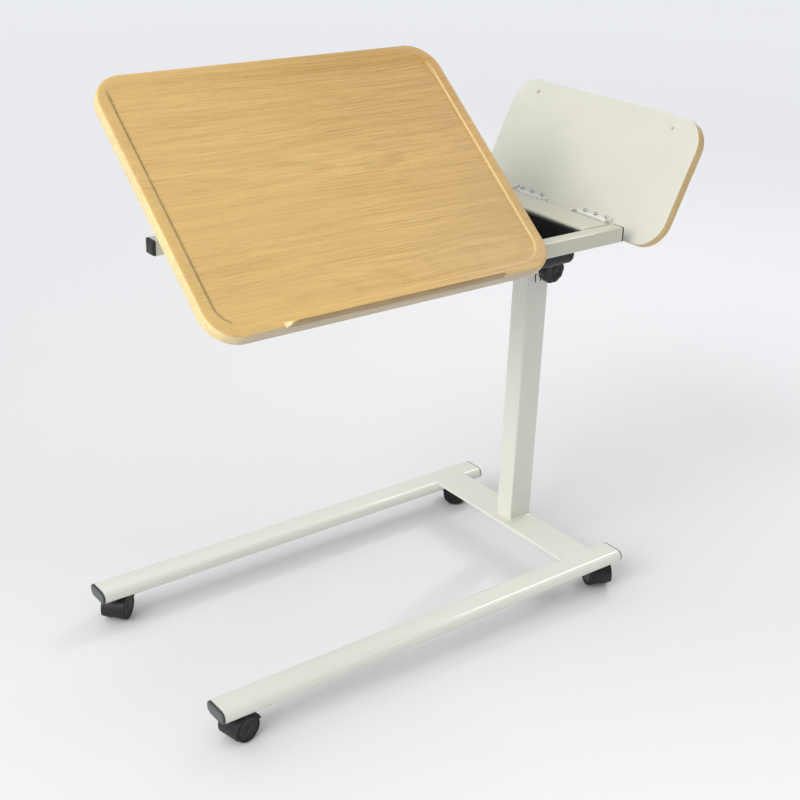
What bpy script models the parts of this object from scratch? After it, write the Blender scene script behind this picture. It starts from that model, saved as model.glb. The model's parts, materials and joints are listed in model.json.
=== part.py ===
"""Overbed table on a cantilever stand, modelled as separate pieces.

Frame: +Z up, floor at z = 0, origin under the middle of the whole table.
The feet run along X with the mast near the +X end, and Y is across the feet.
The pieces stand in the table's working pose: main top tilted, small top flipped open.
"""

import math

import bmesh
import bpy
from mathutils import Matrix, Vector

# Lengths are in metres and angles in radians.
GAP = 0.0003                        # clearance kept between neighbouring pieces
STEEL_WALL = 0.002

# Stand
MAST_X = 0.272                      # mast centre line
FOOT_X0 = MAST_X - 0.6945           # open end of the feet, over the end plugs
FOOT_X1 = MAST_X + 0.0619
FOOT_Y = 0.179                      # centre line of each foot
FOOT_W = 0.047
FOOT_H = 0.021
FOOT_Z0 = 0.047                     # underside of the feet above the floor
FOOT_TOP = FOOT_Z0 + FOOT_H
PLUG_FLANGE = 0.002
PLUG_DEPTH = 0.016
BASE_PLATE_X0 = MAST_X - 0.0375
BASE_PLATE_X1 = MAST_X + 0.023
BASE_PLATE_T = 0.005
PLATE_REACH = 0.0123                # how far the plate runs over each foot's round edge

# Castors: heading is the direction from the stem to the wheel axle
WHEEL_R = 0.0215
WHEEL_W = 0.0125
WHEEL_RIM = 0.003
WHEEL_FACE = 0.0025
WHEEL_HUB_R = 0.006
AXLE_R = 0.003
AXLE_BORE_R = 0.00305
HOOD_R = 0.0243
HOOD_WALL = 0.0022
HOOD_CUT = 0.0045                   # collar reach into the hood below its top
WEB_W = 0.012
WEB_LOW_R = 0.0165
WHEEL_CHAMFER = 0.0018
WHEEL_SIDE_GAP = 0.0004             # web to wheel
AXLE_END_GAP = 0.0005               # axle end to the wheel's outer face
STEM_TRAIL = 0.012
STEM_R = 0.004
STEM_BORE_R = 0.00408
STEM_Z0 = 0.0245
STEM_TOP = 0.062
COLLAR_R = 0.0078
CASTOR_INSET_OPEN = 0.0275          # stem centre from the open end of the feet
CASTOR_INSET_MAST = 0.0265          # stem centre from the mast end of the feet
CASTORS = {
    "near_front": (FOOT_X0 + CASTOR_INSET_OPEN, -FOOT_Y, math.radians(12)),
    "far_front": (FOOT_X0 + CASTOR_INSET_OPEN, FOOT_Y, math.radians(40)),
    "near_rear": (FOOT_X1 - CASTOR_INSET_MAST, -FOOT_Y, math.radians(67)),
    "far_rear": (FOOT_X1 - CASTOR_INSET_MAST, FOOT_Y, math.radians(142)),
}

# Mast
MAST_DX = 0.0465
MAST_DY = 0.0354
MAST_TOP = 0.546
MAST_CORNER = 0.0035
INNER_DX = 0.0385
INNER_DY = 0.0276
INNER_CORNER = 0.0025
INNER_Z0 = 0.110
BUSH_DEPTH = 0.060
BUSH_FLANGE = 0.003
SLITS_X = (-0.0062, 0.0052, 0.0125)     # relief slits beside the clamp screw
SLIT_W = 0.0022
SLIT_Z0 = 0.495
SLIT_Z1 = 0.541

# Clamp knob on the near face of the mast
KNOB_Z = 0.5245
KNOB_R = 0.0222
KNOB_FRONT_Y = -0.0535
KNOB_T = 0.017
KNOB_RIM = 0.003
KNOB_SOCKET = 0.006                 # screw end to the front of the knob
KNOB_HUB_R = 0.011
KNOB_LOBES = 10
KNOB_FLUTE_R = 0.0035
STUD_R = 0.004
BOSS_R = 0.009
BOSS_L = 0.005

# Upper frame
RAIL_TOP = 0.619
RAIL_H = 0.023
RAIL_W = 0.024
RAIL_Y = 0.163                      # outer face of each rail
RAIL_CORNER = 0.003
RAIL_X0 = MAST_X - 0.593
RAIL_X1 = MAST_X + 0.0292
CAP_FLANGE = 0.003
CAP_DEPTH = 0.014
CAP_PANEL_INSET = 0.003
CAP_PANEL_RISE = 0.0008
CROSS_X0 = MAST_X - 0.031
CROSS_X1 = MAST_X + 0.0213
LEFT_CROSS_X0 = RAIL_X0 + 0.030
LEFT_CROSS_W = 0.024

# Storage tray in the frame opening
TRAY_X0 = MAST_X - 0.150
TRAY_X1 = MAST_X - 0.0365
TRAY_Y = 0.135
TRAY_Z0 = RAIL_TOP - 0.053
TRAY_LIP_Z1 = RAIL_TOP - 0.0033
TRAY_LIP_T = 0.002
TRAY_LIP_X0 = TRAY_X0 - 0.012
TRAY_LIP_X1 = CROSS_X0 - 0.0008
TRAY_LIP_Y = RAIL_Y - RAIL_W - 0.0008
TRAY_WALL = 0.002
TRAY_CORNER = 0.012
LEDGE_T = 0.003
LEDGE_GAP = 0.0012                  # between the ledge and the tray wall inside it

# Main top, hinged on the near rail
TOP_T = 0.018
TOP_Y0 = -0.2065                    # near edge of both tops when flat
TOP_DEPTH = 0.4055
TOP_ROUND = 0.0018
MAIN_X0 = MAST_X - 0.695
MAIN_X1 = MAST_X - 0.1455
MAIN_CORNER = 0.046
MAIN_GAP = 0.004                    # rail top to underside of the main top
TILT = math.radians(39.24)
TILT_Y = -0.1565
TILT_Z = RAIL_TOP + 0.002
RIM_W = 0.017
RIM_DEPTH = 0.0025
RIM_CORNER = 0.036
STOP_X0 = MAIN_X0 + 0.097
STOP_X1 = MAIN_X1 - 0.096
STOP_W = 0.009
STOP_H = 0.011
STOP_TAPER = 0.012
STOP_SET_BACK = 0.0003              # behind the near edge of the top
STOP_ROUND = 0.0015

# Butt hinges of the main top
HINGE_X = (MAIN_X0 + 0.095, MAIN_X1 - 0.095)
HINGE_L = 0.050
KNUCKLE_R = 0.0017
HINGE_PIN_R = 0.0008
HINGE_BORE_R = 0.00088
LEAF_T = 0.0008
LEAF_FIXED_W = 0.0145
LEAF_MOVING_W = 0.030

# Prop stay of the main top: arm as long as its pivot is from the tilt axis
STAY_X = MAST_X - 0.420
STAY_L = 0.135
STAY_DROP = 0.006                   # arm pivot below the tilt axis, top flat
STAY_T = 0.004
STAY_H = 0.012
STAY_PIN_R = 0.002
STAY_BORE_R = 0.0021
STAY_FOOT_R = 0.003
STAY_FOOT_L = 0.023
STAY_EAR_T = 0.0025
STAY_EAR_R = 0.005
STAY_BASE_T = 0.0015
STAY_BASE_DX = 0.010                # half sizes of the bracket's base
STAY_BASE_DY = 0.014
STAY_PIN_L = 0.0115
STAY_FOOT_GAP = 0.0007              # foot above the track
TRACK_W = 0.024
TRACK_H = 0.012
TRACK_Z1 = RAIL_TOP - 0.0077

# Small top, flipped open on two cranked hinges
LID_L = 0.2015
LID_CORNER = 0.045
LID_ROUND = 0.0012
LID_GAP = 0.0034                    # rail top to underside of the small top
LID_OPEN = math.radians(115.54)
LID_PIVOT_X = MAST_X + 0.0431
LID_PIVOT_Z = RAIL_TOP - 0.010
LID_EDGE = 0.0149                   # pivot to the hinge-side edge
LID_HINGE_Y0 = 0.035
LID_HINGE_Y1 = 0.1105
LID_PIN_R = 0.002
LID_BORE_R = 0.0021
LID_EAR_R = 0.005
LID_EAR_T = 0.003
LID_LEAF_T = 0.0015
LID_LEAF_OUT = 0.010                # leaf reach from the pivot towards the board edge
LID_LEAF_IN = 0.0075                # and the other way
LID_GUSSET = 0.013                  # reach of the outer ear along the leaf
LID_ARM_R = 0.0045
LID_BACK_T = 0.0025                 # back plate of the bracket on the frame
LID_BACK_DROP = 0.009
BUMPER_R = 0.0024
BUMPER_H = 0.0025
BUMPER_EDGE = 0.020                 # bumper from the free edge
BUMPER_Y = 0.148

# Colours are linear RGB.
PAINT = (0.72, 0.72, 0.66)
BLACK = (0.018, 0.018, 0.02)
GREY_PLUG = (0.06, 0.065, 0.065)
OAK = (0.62, 0.43, 0.20)
WHITE_BACK = (0.76, 0.76, 0.68)
STEEL = (0.55, 0.56, 0.57)
BUSH = (0.10, 0.10, 0.11)


def clear_scene():
    for obj in list(bpy.data.objects):
        bpy.data.objects.remove(obj, do_unlink=True)


def make_collection(name):
    coll = bpy.data.collections.new(name)
    bpy.context.scene.collection.children.link(coll)
    return coll


def material(name, colour, roughness, metallic=0.0):
    mat = bpy.data.materials.get(name) or bpy.data.materials.new(name)
    mat.use_nodes = True
    shader = mat.node_tree.nodes["Principled BSDF"]
    shader.inputs["Base Color"].default_value = (*colour, 1.0)
    shader.inputs["Roughness"].default_value = roughness
    shader.inputs["Metallic"].default_value = metallic
    mat.diffuse_color = (*colour, 1.0)
    return mat


def add_object(name, mesh, mat, cutter=False):
    obj = bpy.data.objects.new(name, mesh)
    (CUTTERS if cutter else PARTS).objects.link(obj)
    if cutter:
        obj.hide_render = True
        obj.display_type = "WIRE"
    elif mat:
        mesh.materials.append(mat)
    return obj


def smooth(obj, degrees=35):
    obj.data.shade_smooth()
    obj.data.set_sharp_from_angle(angle=math.radians(degrees))


def arc(cx, cy, radius, start, end, steps):
    """Points along an arc, angles in degrees."""
    points = []
    for i in range(steps + 1):
        angle = math.radians(start + (end - start) * i / steps)
        points.append((cx + radius * math.cos(angle), cy + radius * math.sin(angle)))
    return points


def rounded_rect(x0, y0, x1, y1, radius, steps=5):
    """Counter-clockwise outline of a rectangle with round corners."""
    return (
        arc(x1 - radius, y0 + radius, radius, -90, 0, steps)
        + arc(x1 - radius, y1 - radius, radius, 0, 90, steps)
        + arc(x0 + radius, y1 - radius, radius, 90, 180, steps)
        + arc(x0 + radius, y0 + radius, radius, 180, 270, steps)
    )


def outline_curve(name, loops, depth):
    """Flat outline, with any inner loops as holes, extruded to the given depth about z = 0."""
    data = bpy.data.curves.new(name, "CURVE")
    data.dimensions = "2D"
    data.fill_mode = "BOTH"
    data.extrude = depth / 2
    for loop in loops:
        spline = data.splines.new("POLY")
        spline.points.add(len(loop) - 1)
        for point, (x, y) in zip(spline.points, loop):
            point.co = (x, y, 0.0, 1.0)
        spline.use_cyclic_u = True
    return data


def plate(name, loops, depth, mat, matrix, cutter=False):
    """A flat outline turned into a welded solid and set in place by a matrix."""
    data = outline_curve(name + "_outline", loops, depth)
    source = bpy.data.objects.new(name + "_outline", data)
    CUTTERS.objects.link(source)
    bpy.context.view_layer.update()
    evaluated = source.evaluated_get(bpy.context.evaluated_depsgraph_get())
    mesh = bpy.data.meshes.new_from_object(evaluated)
    mesh.materials.clear()
    bpy.data.objects.remove(source, do_unlink=True)
    bpy.data.curves.remove(data)
    weld = bmesh.new()
    weld.from_mesh(mesh)
    bmesh.ops.remove_doubles(weld, verts=weld.verts, dist=0.00001)
    bmesh.ops.recalc_face_normals(weld, faces=weld.faces)
    weld.to_mesh(mesh)
    weld.free()
    mesh.name = name
    obj = add_object(name, mesh, mat, cutter)
    obj.matrix_world = matrix
    return obj


def box(name, low, high, mat, cutter=False):
    """A box between two corners, its origin at its centre."""
    mesh = bpy.data.meshes.new(name)
    cube = bmesh.new()
    bmesh.ops.create_cube(cube, size=1.0)
    size = [b - a for a, b in zip(low, high)]
    bmesh.ops.scale(cube, vec=size, verts=cube.verts)
    cube.to_mesh(mesh)
    cube.free()
    obj = add_object(name, mesh, mat, cutter)
    obj.matrix_world = Matrix.Translation([(a + b) / 2 for a, b in zip(low, high)])
    return obj


def cylinder(name, centre, axis, radius, length, mat, segments=24, cutter=False):
    """A cylinder about its centre along the X, Y or Z axis."""
    mesh = bpy.data.meshes.new(name)
    round_bar = bmesh.new()
    bmesh.ops.create_cone(
        round_bar, cap_ends=True, segments=segments, radius1=radius, radius2=radius, depth=length
    )
    round_bar.to_mesh(mesh)
    round_bar.free()
    obj = add_object(name, mesh, mat, cutter)
    obj.matrix_world = Matrix.Translation(centre) @ AXES[axis]
    smooth(obj)
    return obj


def turned(name, profile, matrix, mat, steps=28):
    """A turned solid: (radius, height) points run down the outer side, top to bottom."""
    mesh = bpy.data.meshes.new(name)
    points = [(radius, 0.0, height) for radius, height in profile]
    edges = [(i, i + 1) for i in range(len(points) - 1)]
    if profile[0][0] > 0:
        edges.append((len(points) - 1, 0))
    mesh.from_pydata(points, edges, [])
    obj = add_object(name, mesh, mat)
    screw = obj.modifiers.new("Turn", "SCREW")
    screw.steps = steps
    screw.render_steps = steps
    screw.use_merge_vertices = True
    screw.merge_threshold = 0.00005
    screw.use_smooth_shade = True
    obj.matrix_world = matrix
    return obj


def boolean(obj, other, operation="DIFFERENCE"):
    mod = obj.modifiers.new(operation.title(), "BOOLEAN")
    mod.operation = operation
    mod.solver = "EXACT"
    mod.object = other


def join(obj, others):
    """Add helper solids to a piece as one body."""
    for other in others:
        boolean(obj, other, "UNION")


def bevel(obj, width, segments=2):
    mod = obj.modifiers.new("Bevel", "BEVEL")
    mod.width = width
    mod.segments = segments
    mod.limit_method = "ANGLE"
    mod.angle_limit = math.radians(50)


def carry(obj, matrix):
    """Move a finished piece, with the helpers that shape it, by a world matrix."""
    helpers = [mod.object for mod in obj.modifiers if mod.type == "BOOLEAN"]
    for piece in [obj, *helpers]:
        piece.matrix_world = matrix @ piece.matrix_world


def rotation_about(point, axis, angle):
    return (
        Matrix.Translation(point)
        @ Matrix.Rotation(angle, 4, axis)
        @ Matrix.Translation([-value for value in point])
    )


def set_origin(obj, point):
    """Put a piece's origin on its joint's axis without moving the piece."""
    place = obj.matrix_world.copy()
    target = Matrix.Translation(point)
    obj.data.transform(target.inverted() @ place)
    obj.matrix_world = target


# Outline planes: the outline's X and Y lie along the named world axes.
AXES = {
    "X": Matrix.Rotation(math.radians(90), 4, "Y"),
    "Y": Matrix.Rotation(math.radians(90), 4, "X"),
    "Z": Matrix.Identity(4),
}
PLANE_XY = Matrix.Identity(4)
PLANE_YZ = Matrix(((0, 0, 1, 0), (1, 0, 0, 0), (0, 1, 0, 0), (0, 0, 0, 1)))
PLANE_XZ = Matrix(((1, 0, 0, 0), (0, 0, -1, 0), (0, 1, 0, 0), (0, 0, 0, 1)))


def at(x, y, z, plane):
    return Matrix.Translation((x, y, z)) @ plane


# ---------------------------------------------------------------- stand

def oval(width, height, steps=8):
    """Flat-oval outline, wide in the first axis."""
    radius = height / 2
    straight = width / 2 - radius
    return arc(straight, 0, radius, -90, 90, steps) + arc(-straight, 0, radius, 90, 270, steps)


def foot_tube(name, side, stems):
    inner = oval(FOOT_W - 2 * STEEL_WALL, FOOT_H - 2 * STEEL_WALL)
    x0 = FOOT_X0 + PLUG_FLANGE + GAP
    x1 = FOOT_X1 - PLUG_FLANGE - GAP
    place = at((x0 + x1) / 2, side * FOOT_Y, FOOT_Z0 + FOOT_H / 2, PLANE_YZ)
    tube = plate(name, [oval(FOOT_W, FOOT_H), inner], x1 - x0, PAINTED, place)
    for x, y in stems:
        hole = cylinder(
            f"{name}_stem_hole_{x:.2f}", (x, y, FOOT_Z0), "Z", STEM_R + GAP, 3 * STEEL_WALL, None,
            segments=16, cutter=True,
        )
        boolean(tube, hole)
    smooth(tube)
    return tube


def foot_plug(name, x_face, side, inward):
    """End plug: a flange over the tube's end, a raised panel, and a spigot inside the tube."""
    fit = STEEL_WALL + GAP
    y = side * FOOT_Y
    z = FOOT_Z0 + FOOT_H / 2
    flange_x = x_face + inward * PLUG_FLANGE / 2
    plug = plate(name, [oval(FOOT_W, FOOT_H)], PLUG_FLANGE, DARK_PLUG, at(flange_x, y, z, PLANE_YZ))
    spigot = plate(
        name + "_spigot", [oval(FOOT_W - 2 * fit, FOOT_H - 2 * fit)], PLUG_DEPTH, None,
        at(x_face + inward * (PLUG_FLANGE / 2 + PLUG_DEPTH / 2), y, z, PLANE_YZ), cutter=True,
    )
    join(plug, [spigot])
    return plug


def base_cross_plate():
    """Plate welded between the feet, level with their tops and shaped to their round edges."""
    y = FOOT_Y - FOOT_W / 2 + PLATE_REACH
    low = (BASE_PLATE_X0, -y, FOOT_TOP - BASE_PLATE_T)
    high = (BASE_PLATE_X1, y, FOOT_TOP)
    slab = box("base_cross_plate", low, high, PAINTED)
    for side in (-1, 1):
        relief = plate(
            f"plate_relief_{side}", [oval(FOOT_W + 2 * GAP, FOOT_H + 2 * GAP, 16)], 0.2, None,
            at(MAST_X, side * FOOT_Y, FOOT_Z0 + FOOT_H / 2, PLANE_YZ), cutter=True,
        )
        boolean(slab, relief)
    return slab


def rect_tube(name, size_a, size_b, corner, length, place, wall=STEEL_WALL):
    outer = rounded_rect(-size_a / 2, -size_b / 2, size_a / 2, size_b / 2, corner, 4)
    a = size_a / 2 - wall
    b = size_b / 2 - wall
    inner = rounded_rect(-a, -b, a, b, max(corner - wall, 0.001), 3)
    tube = plate(name, [outer, inner], length, PAINTED, place)
    smooth(tube)
    return tube


def outer_mast():
    z0 = FOOT_TOP + GAP
    mast = rect_tube(
        "outer_mast", MAST_DX, MAST_DY, MAST_CORNER, MAST_TOP - z0,
        at(MAST_X, 0, (z0 + MAST_TOP) / 2, PLANE_XY),
    )
    stud_hole = cylinder(
        "mast_stud_hole", (MAST_X, -MAST_DY / 2, KNOB_Z), "Y", STUD_R + GAP, 0.010, None,
        segments=16, cutter=True,
    )
    boolean(mast, stud_hole)
    for offset in SLITS_X:
        x = MAST_X + offset
        slit = box(
            f"mast_slit_{offset}", (x - SLIT_W / 2, -MAST_DY / 2 - STEEL_WALL, SLIT_Z0),
            (x + SLIT_W / 2, -MAST_DY / 2 + 1.2 * STEEL_WALL, SLIT_Z1), None, cutter=True,
        )
        boolean(mast, slit)
    return mast


def mast_guide_bush():
    """Collar in the mouth of the outer mast that the inner mast slides through."""
    a = MAST_DX / 2 - STEEL_WALL - GAP
    b = MAST_DY / 2 - STEEL_WALL - GAP
    bore_a = INNER_DX / 2 + GAP
    bore_b = INNER_DY / 2 + GAP
    bore = rounded_rect(-bore_a, -bore_b, bore_a, bore_b, INNER_CORNER - 0.0005, 3)
    sleeve = [rounded_rect(-a, -b, a, b, MAST_CORNER - STEEL_WALL, 3), bore]
    z_mid = MAST_TOP - BUSH_DEPTH / 2 + GAP
    bush = plate("mast_guide_bush", sleeve, BUSH_DEPTH, BUSH_PLASTIC, at(MAST_X, 0, z_mid, PLANE_XY))
    collar_loops = [
        rounded_rect(-MAST_DX / 2, -MAST_DY / 2, MAST_DX / 2, MAST_DY / 2, MAST_CORNER, 4),
        bore,
    ]
    collar = plate(
        "bush_collar", collar_loops, BUSH_FLANGE, None,
        at(MAST_X, 0, MAST_TOP + GAP + BUSH_FLANGE / 2, PLANE_XY), cutter=True,
    )
    join(bush, [collar])
    window = cylinder(
        "bush_window", (MAST_X, -MAST_DY / 2, KNOB_Z), "Y", STUD_R + 0.001, 0.012, None,
        segments=16, cutter=True,
    )
    boolean(bush, window)
    return bush


def clamp_boss():
    """Threaded boss welded on the near face of the mast for the clamp screw."""
    y = -MAST_DY / 2 - GAP - BOSS_L / 2
    boss = cylinder("clamp_boss", (MAST_X, y, KNOB_Z), "Y", BOSS_R, BOSS_L, PAINTED, segments=24)
    bore = cylinder(
        "clamp_boss_bore", (MAST_X, y, KNOB_Z), "Y", STUD_R + 0.0001, 2 * BOSS_L, None,
        segments=24, cutter=True,
    )
    boolean(boss, bore)
    return boss


def clamp_stud():
    """Screw from inside the knob to just short of the inner mast, with a flat foot."""
    tip = -INNER_DY / 2 - GAP
    back = KNOB_FRONT_Y + KNOB_SOCKET
    centre = (MAST_X, (tip + back) / 2, KNOB_Z)
    return cylinder("clamp_stud", centre, "Y", STUD_R, tip - back, STEEL_METAL, segments=24)


def clamp_knob():
    """Round hand knob with shallow finger flutes and a hub towards the mast."""
    profile = [
        (0.0, 0.0),
        (KNOB_R - KNOB_RIM, 0.0),
        (KNOB_R, -KNOB_RIM),
        (KNOB_R, KNOB_RIM - KNOB_T),
        (KNOB_R - KNOB_RIM, -KNOB_T),
        (KNOB_HUB_R, -KNOB_T),
        (KNOB_HUB_R - 0.001, -hub_depth()),
        (0.0, -hub_depth()),
    ]
    place = Matrix.Translation((MAST_X, KNOB_FRONT_Y, KNOB_Z)) @ AXES["Y"]
    knob = turned("clamp_knob", profile, place, BLACK_PLASTIC, steps=40)
    for i in range(KNOB_LOBES):
        angle = 2 * math.pi * (i + 0.5) / KNOB_LOBES
        reach = KNOB_R + KNOB_FLUTE_R * 0.62
        x = MAST_X + reach * math.cos(angle)
        z = KNOB_Z + reach * math.sin(angle)
        flute = cylinder(
            f"knob_flute_{i}", (x, KNOB_FRONT_Y + KNOB_T / 2, z), "Y", KNOB_FLUTE_R, 2 * KNOB_T, None,
            segments=12, cutter=True,
        )
        boolean(knob, flute)
    socket_end = KNOB_FRONT_Y + KNOB_SOCKET - GAP
    socket = cylinder(
        "knob_socket", (MAST_X, socket_end / 2, KNOB_Z), "Y", STUD_R + GAP, -socket_end, None,
        segments=24, cutter=True,
    )
    boolean(knob, socket)
    return knob


def hub_depth():
    """Knob front to the hub's mast-side face, just clear of the clamp boss."""
    return -MAST_DY / 2 - GAP - BOSS_L - 0.001 - KNOB_FRONT_Y


# ---------------------------------------------------------------- castors

def castor_frame(x, y, heading):
    """Castor axes: origin on the floor under the stem, local X towards the axle."""
    return Matrix.Translation((x, y, 0)) @ Matrix.Rotation(heading, 4, "Z")


def castor_stem(name, x, y):
    z_mid = (STEM_Z0 + STEM_TOP) / 2
    stem = cylinder(name, (x, y, z_mid), "Z", STEM_R, STEM_TOP - STEM_Z0, STEEL_METAL, segments=16)
    bevel(stem, 0.0005, 1)
    return stem


def hood_outline():
    """Side view of the web between the wheels: round under the axle, wide under the hood."""
    return arc(0, 0, HOOD_R - HOOD_WALL / 2, 18, 202, 12) + arc(0, 0, WEB_LOW_R, 202, 378, 8)


def hood_shell():
    """Side view of the shell that covers the wheels from behind over the top to the nose."""
    return arc(0, 0, HOOD_R, 15, 205, 16) + arc(0, 0, HOOD_R - HOOD_WALL, 205, 15, 16)


def castor_hood(name, x, y, heading):
    frame = castor_frame(x, y, heading)
    axle = frame @ Matrix.Translation((STEM_TRAIL, 0, WHEEL_R)) @ PLANE_XZ
    full = WEB_W + 2 * (WHEEL_SIDE_GAP + WHEEL_W)
    hood = plate(name, [hood_outline()], WEB_W, BLACK_PLASTIC, axle)
    shell = plate(name + "_shell", [hood_shell()], full, None, axle, cutter=True)
    axle_length = full - 2 * (WHEEL_FACE + AXLE_END_GAP)
    axle_pin = cylinder(name + "_axle", (0, 0, 0), "Z", AXLE_R, axle_length, None, 16, True)
    axle_pin.matrix_world = axle
    collar_z0 = WHEEL_R + HOOD_R - HOOD_CUT
    collar_z1 = FOOT_Z0 - GAP
    collar = cylinder(
        name + "_collar", (x, y, (collar_z0 + collar_z1) / 2), "Z", COLLAR_R, collar_z1 - collar_z0,
        None, 20, True,
    )
    join(hood, [shell, axle_pin, collar])
    bore_z0 = STEM_Z0 - GAP
    bore_at = (x, y, (bore_z0 + STEM_TOP) / 2)
    bore = cylinder(name + "_bore", bore_at, "Z", STEM_BORE_R, STEM_TOP - bore_z0, None, 16, True)
    boolean(hood, bore)
    set_origin(hood, (x, y, 0))
    return hood


def castor_wheel(name, x, y, heading, side):
    """Cup-shaped wheel: closed outer face, rim and hub open towards the web."""
    rim_in = WHEEL_R - WHEEL_RIM
    floor = WHEEL_W - WHEEL_FACE
    profile = [
        (0.0, WHEEL_W),
        (WHEEL_R - WHEEL_CHAMFER, WHEEL_W),
        (WHEEL_R, WHEEL_W - WHEEL_CHAMFER),
        (WHEEL_R, 0.0),
        (rim_in, 0.0),
        (rim_in, floor),
        (WHEEL_HUB_R, floor),
        (WHEEL_HUB_R, WHEEL_SIDE_GAP),
        (AXLE_BORE_R, WHEEL_SIDE_GAP),
        (AXLE_BORE_R, floor),
        (0.0, floor),
    ]
    offset = WEB_W / 2 + WHEEL_SIDE_GAP
    turn = Matrix.Rotation(math.radians(-90 * side), 4, "X")
    place = castor_frame(x, y, heading) @ Matrix.Translation((STEM_TRAIL, side * offset, WHEEL_R)) @ turn
    return turned(name, profile, place, BLACK_RUBBER, steps=20)


def castors():
    for name, (x, y, heading) in CASTORS.items():
        castor_stem(f"{name}_castor_stem", x, y)
        castor_hood(f"{name}_castor_hood", x, y, heading)
        castor_wheel(f"{name}_castor_wheel_left", x, y, heading, 1)
        castor_wheel(f"{name}_castor_wheel_right", x, y, heading, -1)


# ---------------------------------------------------------------- upper frame

def inner_mast():
    z1 = RAIL_TOP - RAIL_H - GAP
    return rect_tube(
        "inner_mast", INNER_DX, INNER_DY, INNER_CORNER, z1 - INNER_Z0,
        at(MAST_X, 0, (INNER_Z0 + z1) / 2, PLANE_XY),
    )


def rail(name, side):
    x0 = RAIL_X0 + CAP_FLANGE + GAP
    x1 = RAIL_X1 - CAP_FLANGE - GAP
    y = side * (RAIL_Y - RAIL_W / 2)
    return rect_tube(
        name, RAIL_W, RAIL_H, RAIL_CORNER, x1 - x0,
        at((x0 + x1) / 2, y, RAIL_TOP - RAIL_H / 2, PLANE_YZ),
    )


def rail_cap(name, x_face, side, inward):
    """Square end cap with a raised panel on its face and a spigot inside the rail."""
    y = side * (RAIL_Y - RAIL_W / 2)
    z = RAIL_TOP - RAIL_H / 2
    a = RAIL_W / 2
    b = RAIL_H / 2
    cap = plate(
        name, [rounded_rect(-a, -b, a, b, RAIL_CORNER, 4)], CAP_FLANGE, BLACK_PLASTIC,
        at(x_face + inward * CAP_FLANGE / 2, y, z, PLANE_YZ),
    )
    fit = STEEL_WALL + GAP
    spigot = plate(
        name + "_spigot", [rounded_rect(fit - a, fit - b, a - fit, b - fit, 0.001, 2)], CAP_DEPTH, None,
        at(x_face + inward * (CAP_FLANGE / 2 + CAP_DEPTH / 2), y, z, PLANE_YZ), cutter=True,
    )
    a -= CAP_PANEL_INSET
    b -= CAP_PANEL_INSET
    panel = plate(
        name + "_panel", [rounded_rect(-a, -b, a, b, 0.002, 3)], 2 * CAP_PANEL_RISE, None,
        at(x_face, y, z, PLANE_YZ), cutter=True,
    )
    join(cap, [spigot, panel])
    return cap


def cross_tube(name, x0, x1):
    length = 2 * (RAIL_Y - RAIL_W - GAP)
    return rect_tube(
        name, x1 - x0, RAIL_H, RAIL_CORNER, length,
        at((x0 + x1) / 2, 0, RAIL_TOP - RAIL_H / 2, PLANE_XZ),
    )


def storage_tray():
    """Open box with a lip all round; the lip rests on a ledge in the frame opening."""
    lip_z0 = TRAY_LIP_Z1 - TRAY_LIP_T
    lip = [rounded_rect(TRAY_LIP_X0, -TRAY_LIP_Y, TRAY_LIP_X1, TRAY_LIP_Y, 0.003, 2)]
    lip_mid = (lip_z0 + TRAY_LIP_Z1) / 2
    tray = plate("storage_tray", lip, TRAY_LIP_T, BLACK_TRAY, at(0, 0, lip_mid, PLANE_XY))
    body = box("tray_body", (TRAY_X0, -TRAY_Y, TRAY_Z0), (TRAY_X1, TRAY_Y, lip_mid), None, cutter=True)
    round_lower_edges(body, TRAY_CORNER)
    join(tray, [body])
    hollow = box(
        "tray_hollow",
        (TRAY_X0 + TRAY_WALL, -TRAY_Y + TRAY_WALL, TRAY_Z0 + TRAY_WALL),
        (TRAY_X1 - TRAY_WALL, TRAY_Y - TRAY_WALL, TRAY_LIP_Z1 + 0.004),
        None, cutter=True,
    )
    round_lower_edges(hollow, TRAY_CORNER - TRAY_WALL)
    boolean(tray, hollow)
    return tray


def round_lower_edges(obj, radius):
    """Round a box's bottom and upright edges, not its top ones."""
    bevel(obj, radius, 4)
    obj.modifiers["Bevel"].limit_method = "WEIGHT"
    mesh = obj.data
    weights = mesh.attributes.new("bevel_weight_edge", "FLOAT", "EDGE")
    top = max(vertex.co.z for vertex in mesh.vertices)
    for edge in mesh.edges:
        heights = [mesh.vertices[i].co.z for i in edge.vertices]
        if min(heights) < top:
            weights.data[edge.index].value = 1.0


def tray_ledge():
    """Flat ring welded inside the frame opening, under the tray's lip."""
    z1 = TRAY_LIP_Z1 - TRAY_LIP_T - GAP
    x1 = CROSS_X0 - GAP
    x0 = TRAY_LIP_X0 - 0.002
    y = RAIL_Y - RAIL_W - GAP
    outer = rounded_rect(x0, -y, x1, y, 0.001, 1)
    inner = rounded_rect(
        TRAY_X0 - LEDGE_GAP, -TRAY_Y - LEDGE_GAP, TRAY_X1 + LEDGE_GAP, TRAY_Y + LEDGE_GAP, 0.001, 1
    )
    return plate("tray_ledge", [outer, inner], LEDGE_T, PAINTED, at(0, 0, z1 - LEDGE_T / 2, PLANE_XY))


def stay_track():
    """Channel across the frame whose side walls carry the foot of the prop stay."""
    half = TRACK_W / 2
    wall = STEEL_WALL
    outline = [
        (-half, -TRACK_H), (half, -TRACK_H), (half, 0), (half - wall, 0),
        (half - wall, wall - TRACK_H), (wall - half, wall - TRACK_H), (wall - half, 0), (-half, 0),
    ]
    length = 2 * (RAIL_Y - RAIL_W - GAP)
    track = plate("stay_track", [outline], length, PAINTED, at(STAY_X, 0, TRACK_Z1, PLANE_XZ))
    return track


# ---------------------------------------------------------------- main top

def tilted():
    return rotation_about((0, TILT_Y, TILT_Z), "X", TILT)


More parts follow.
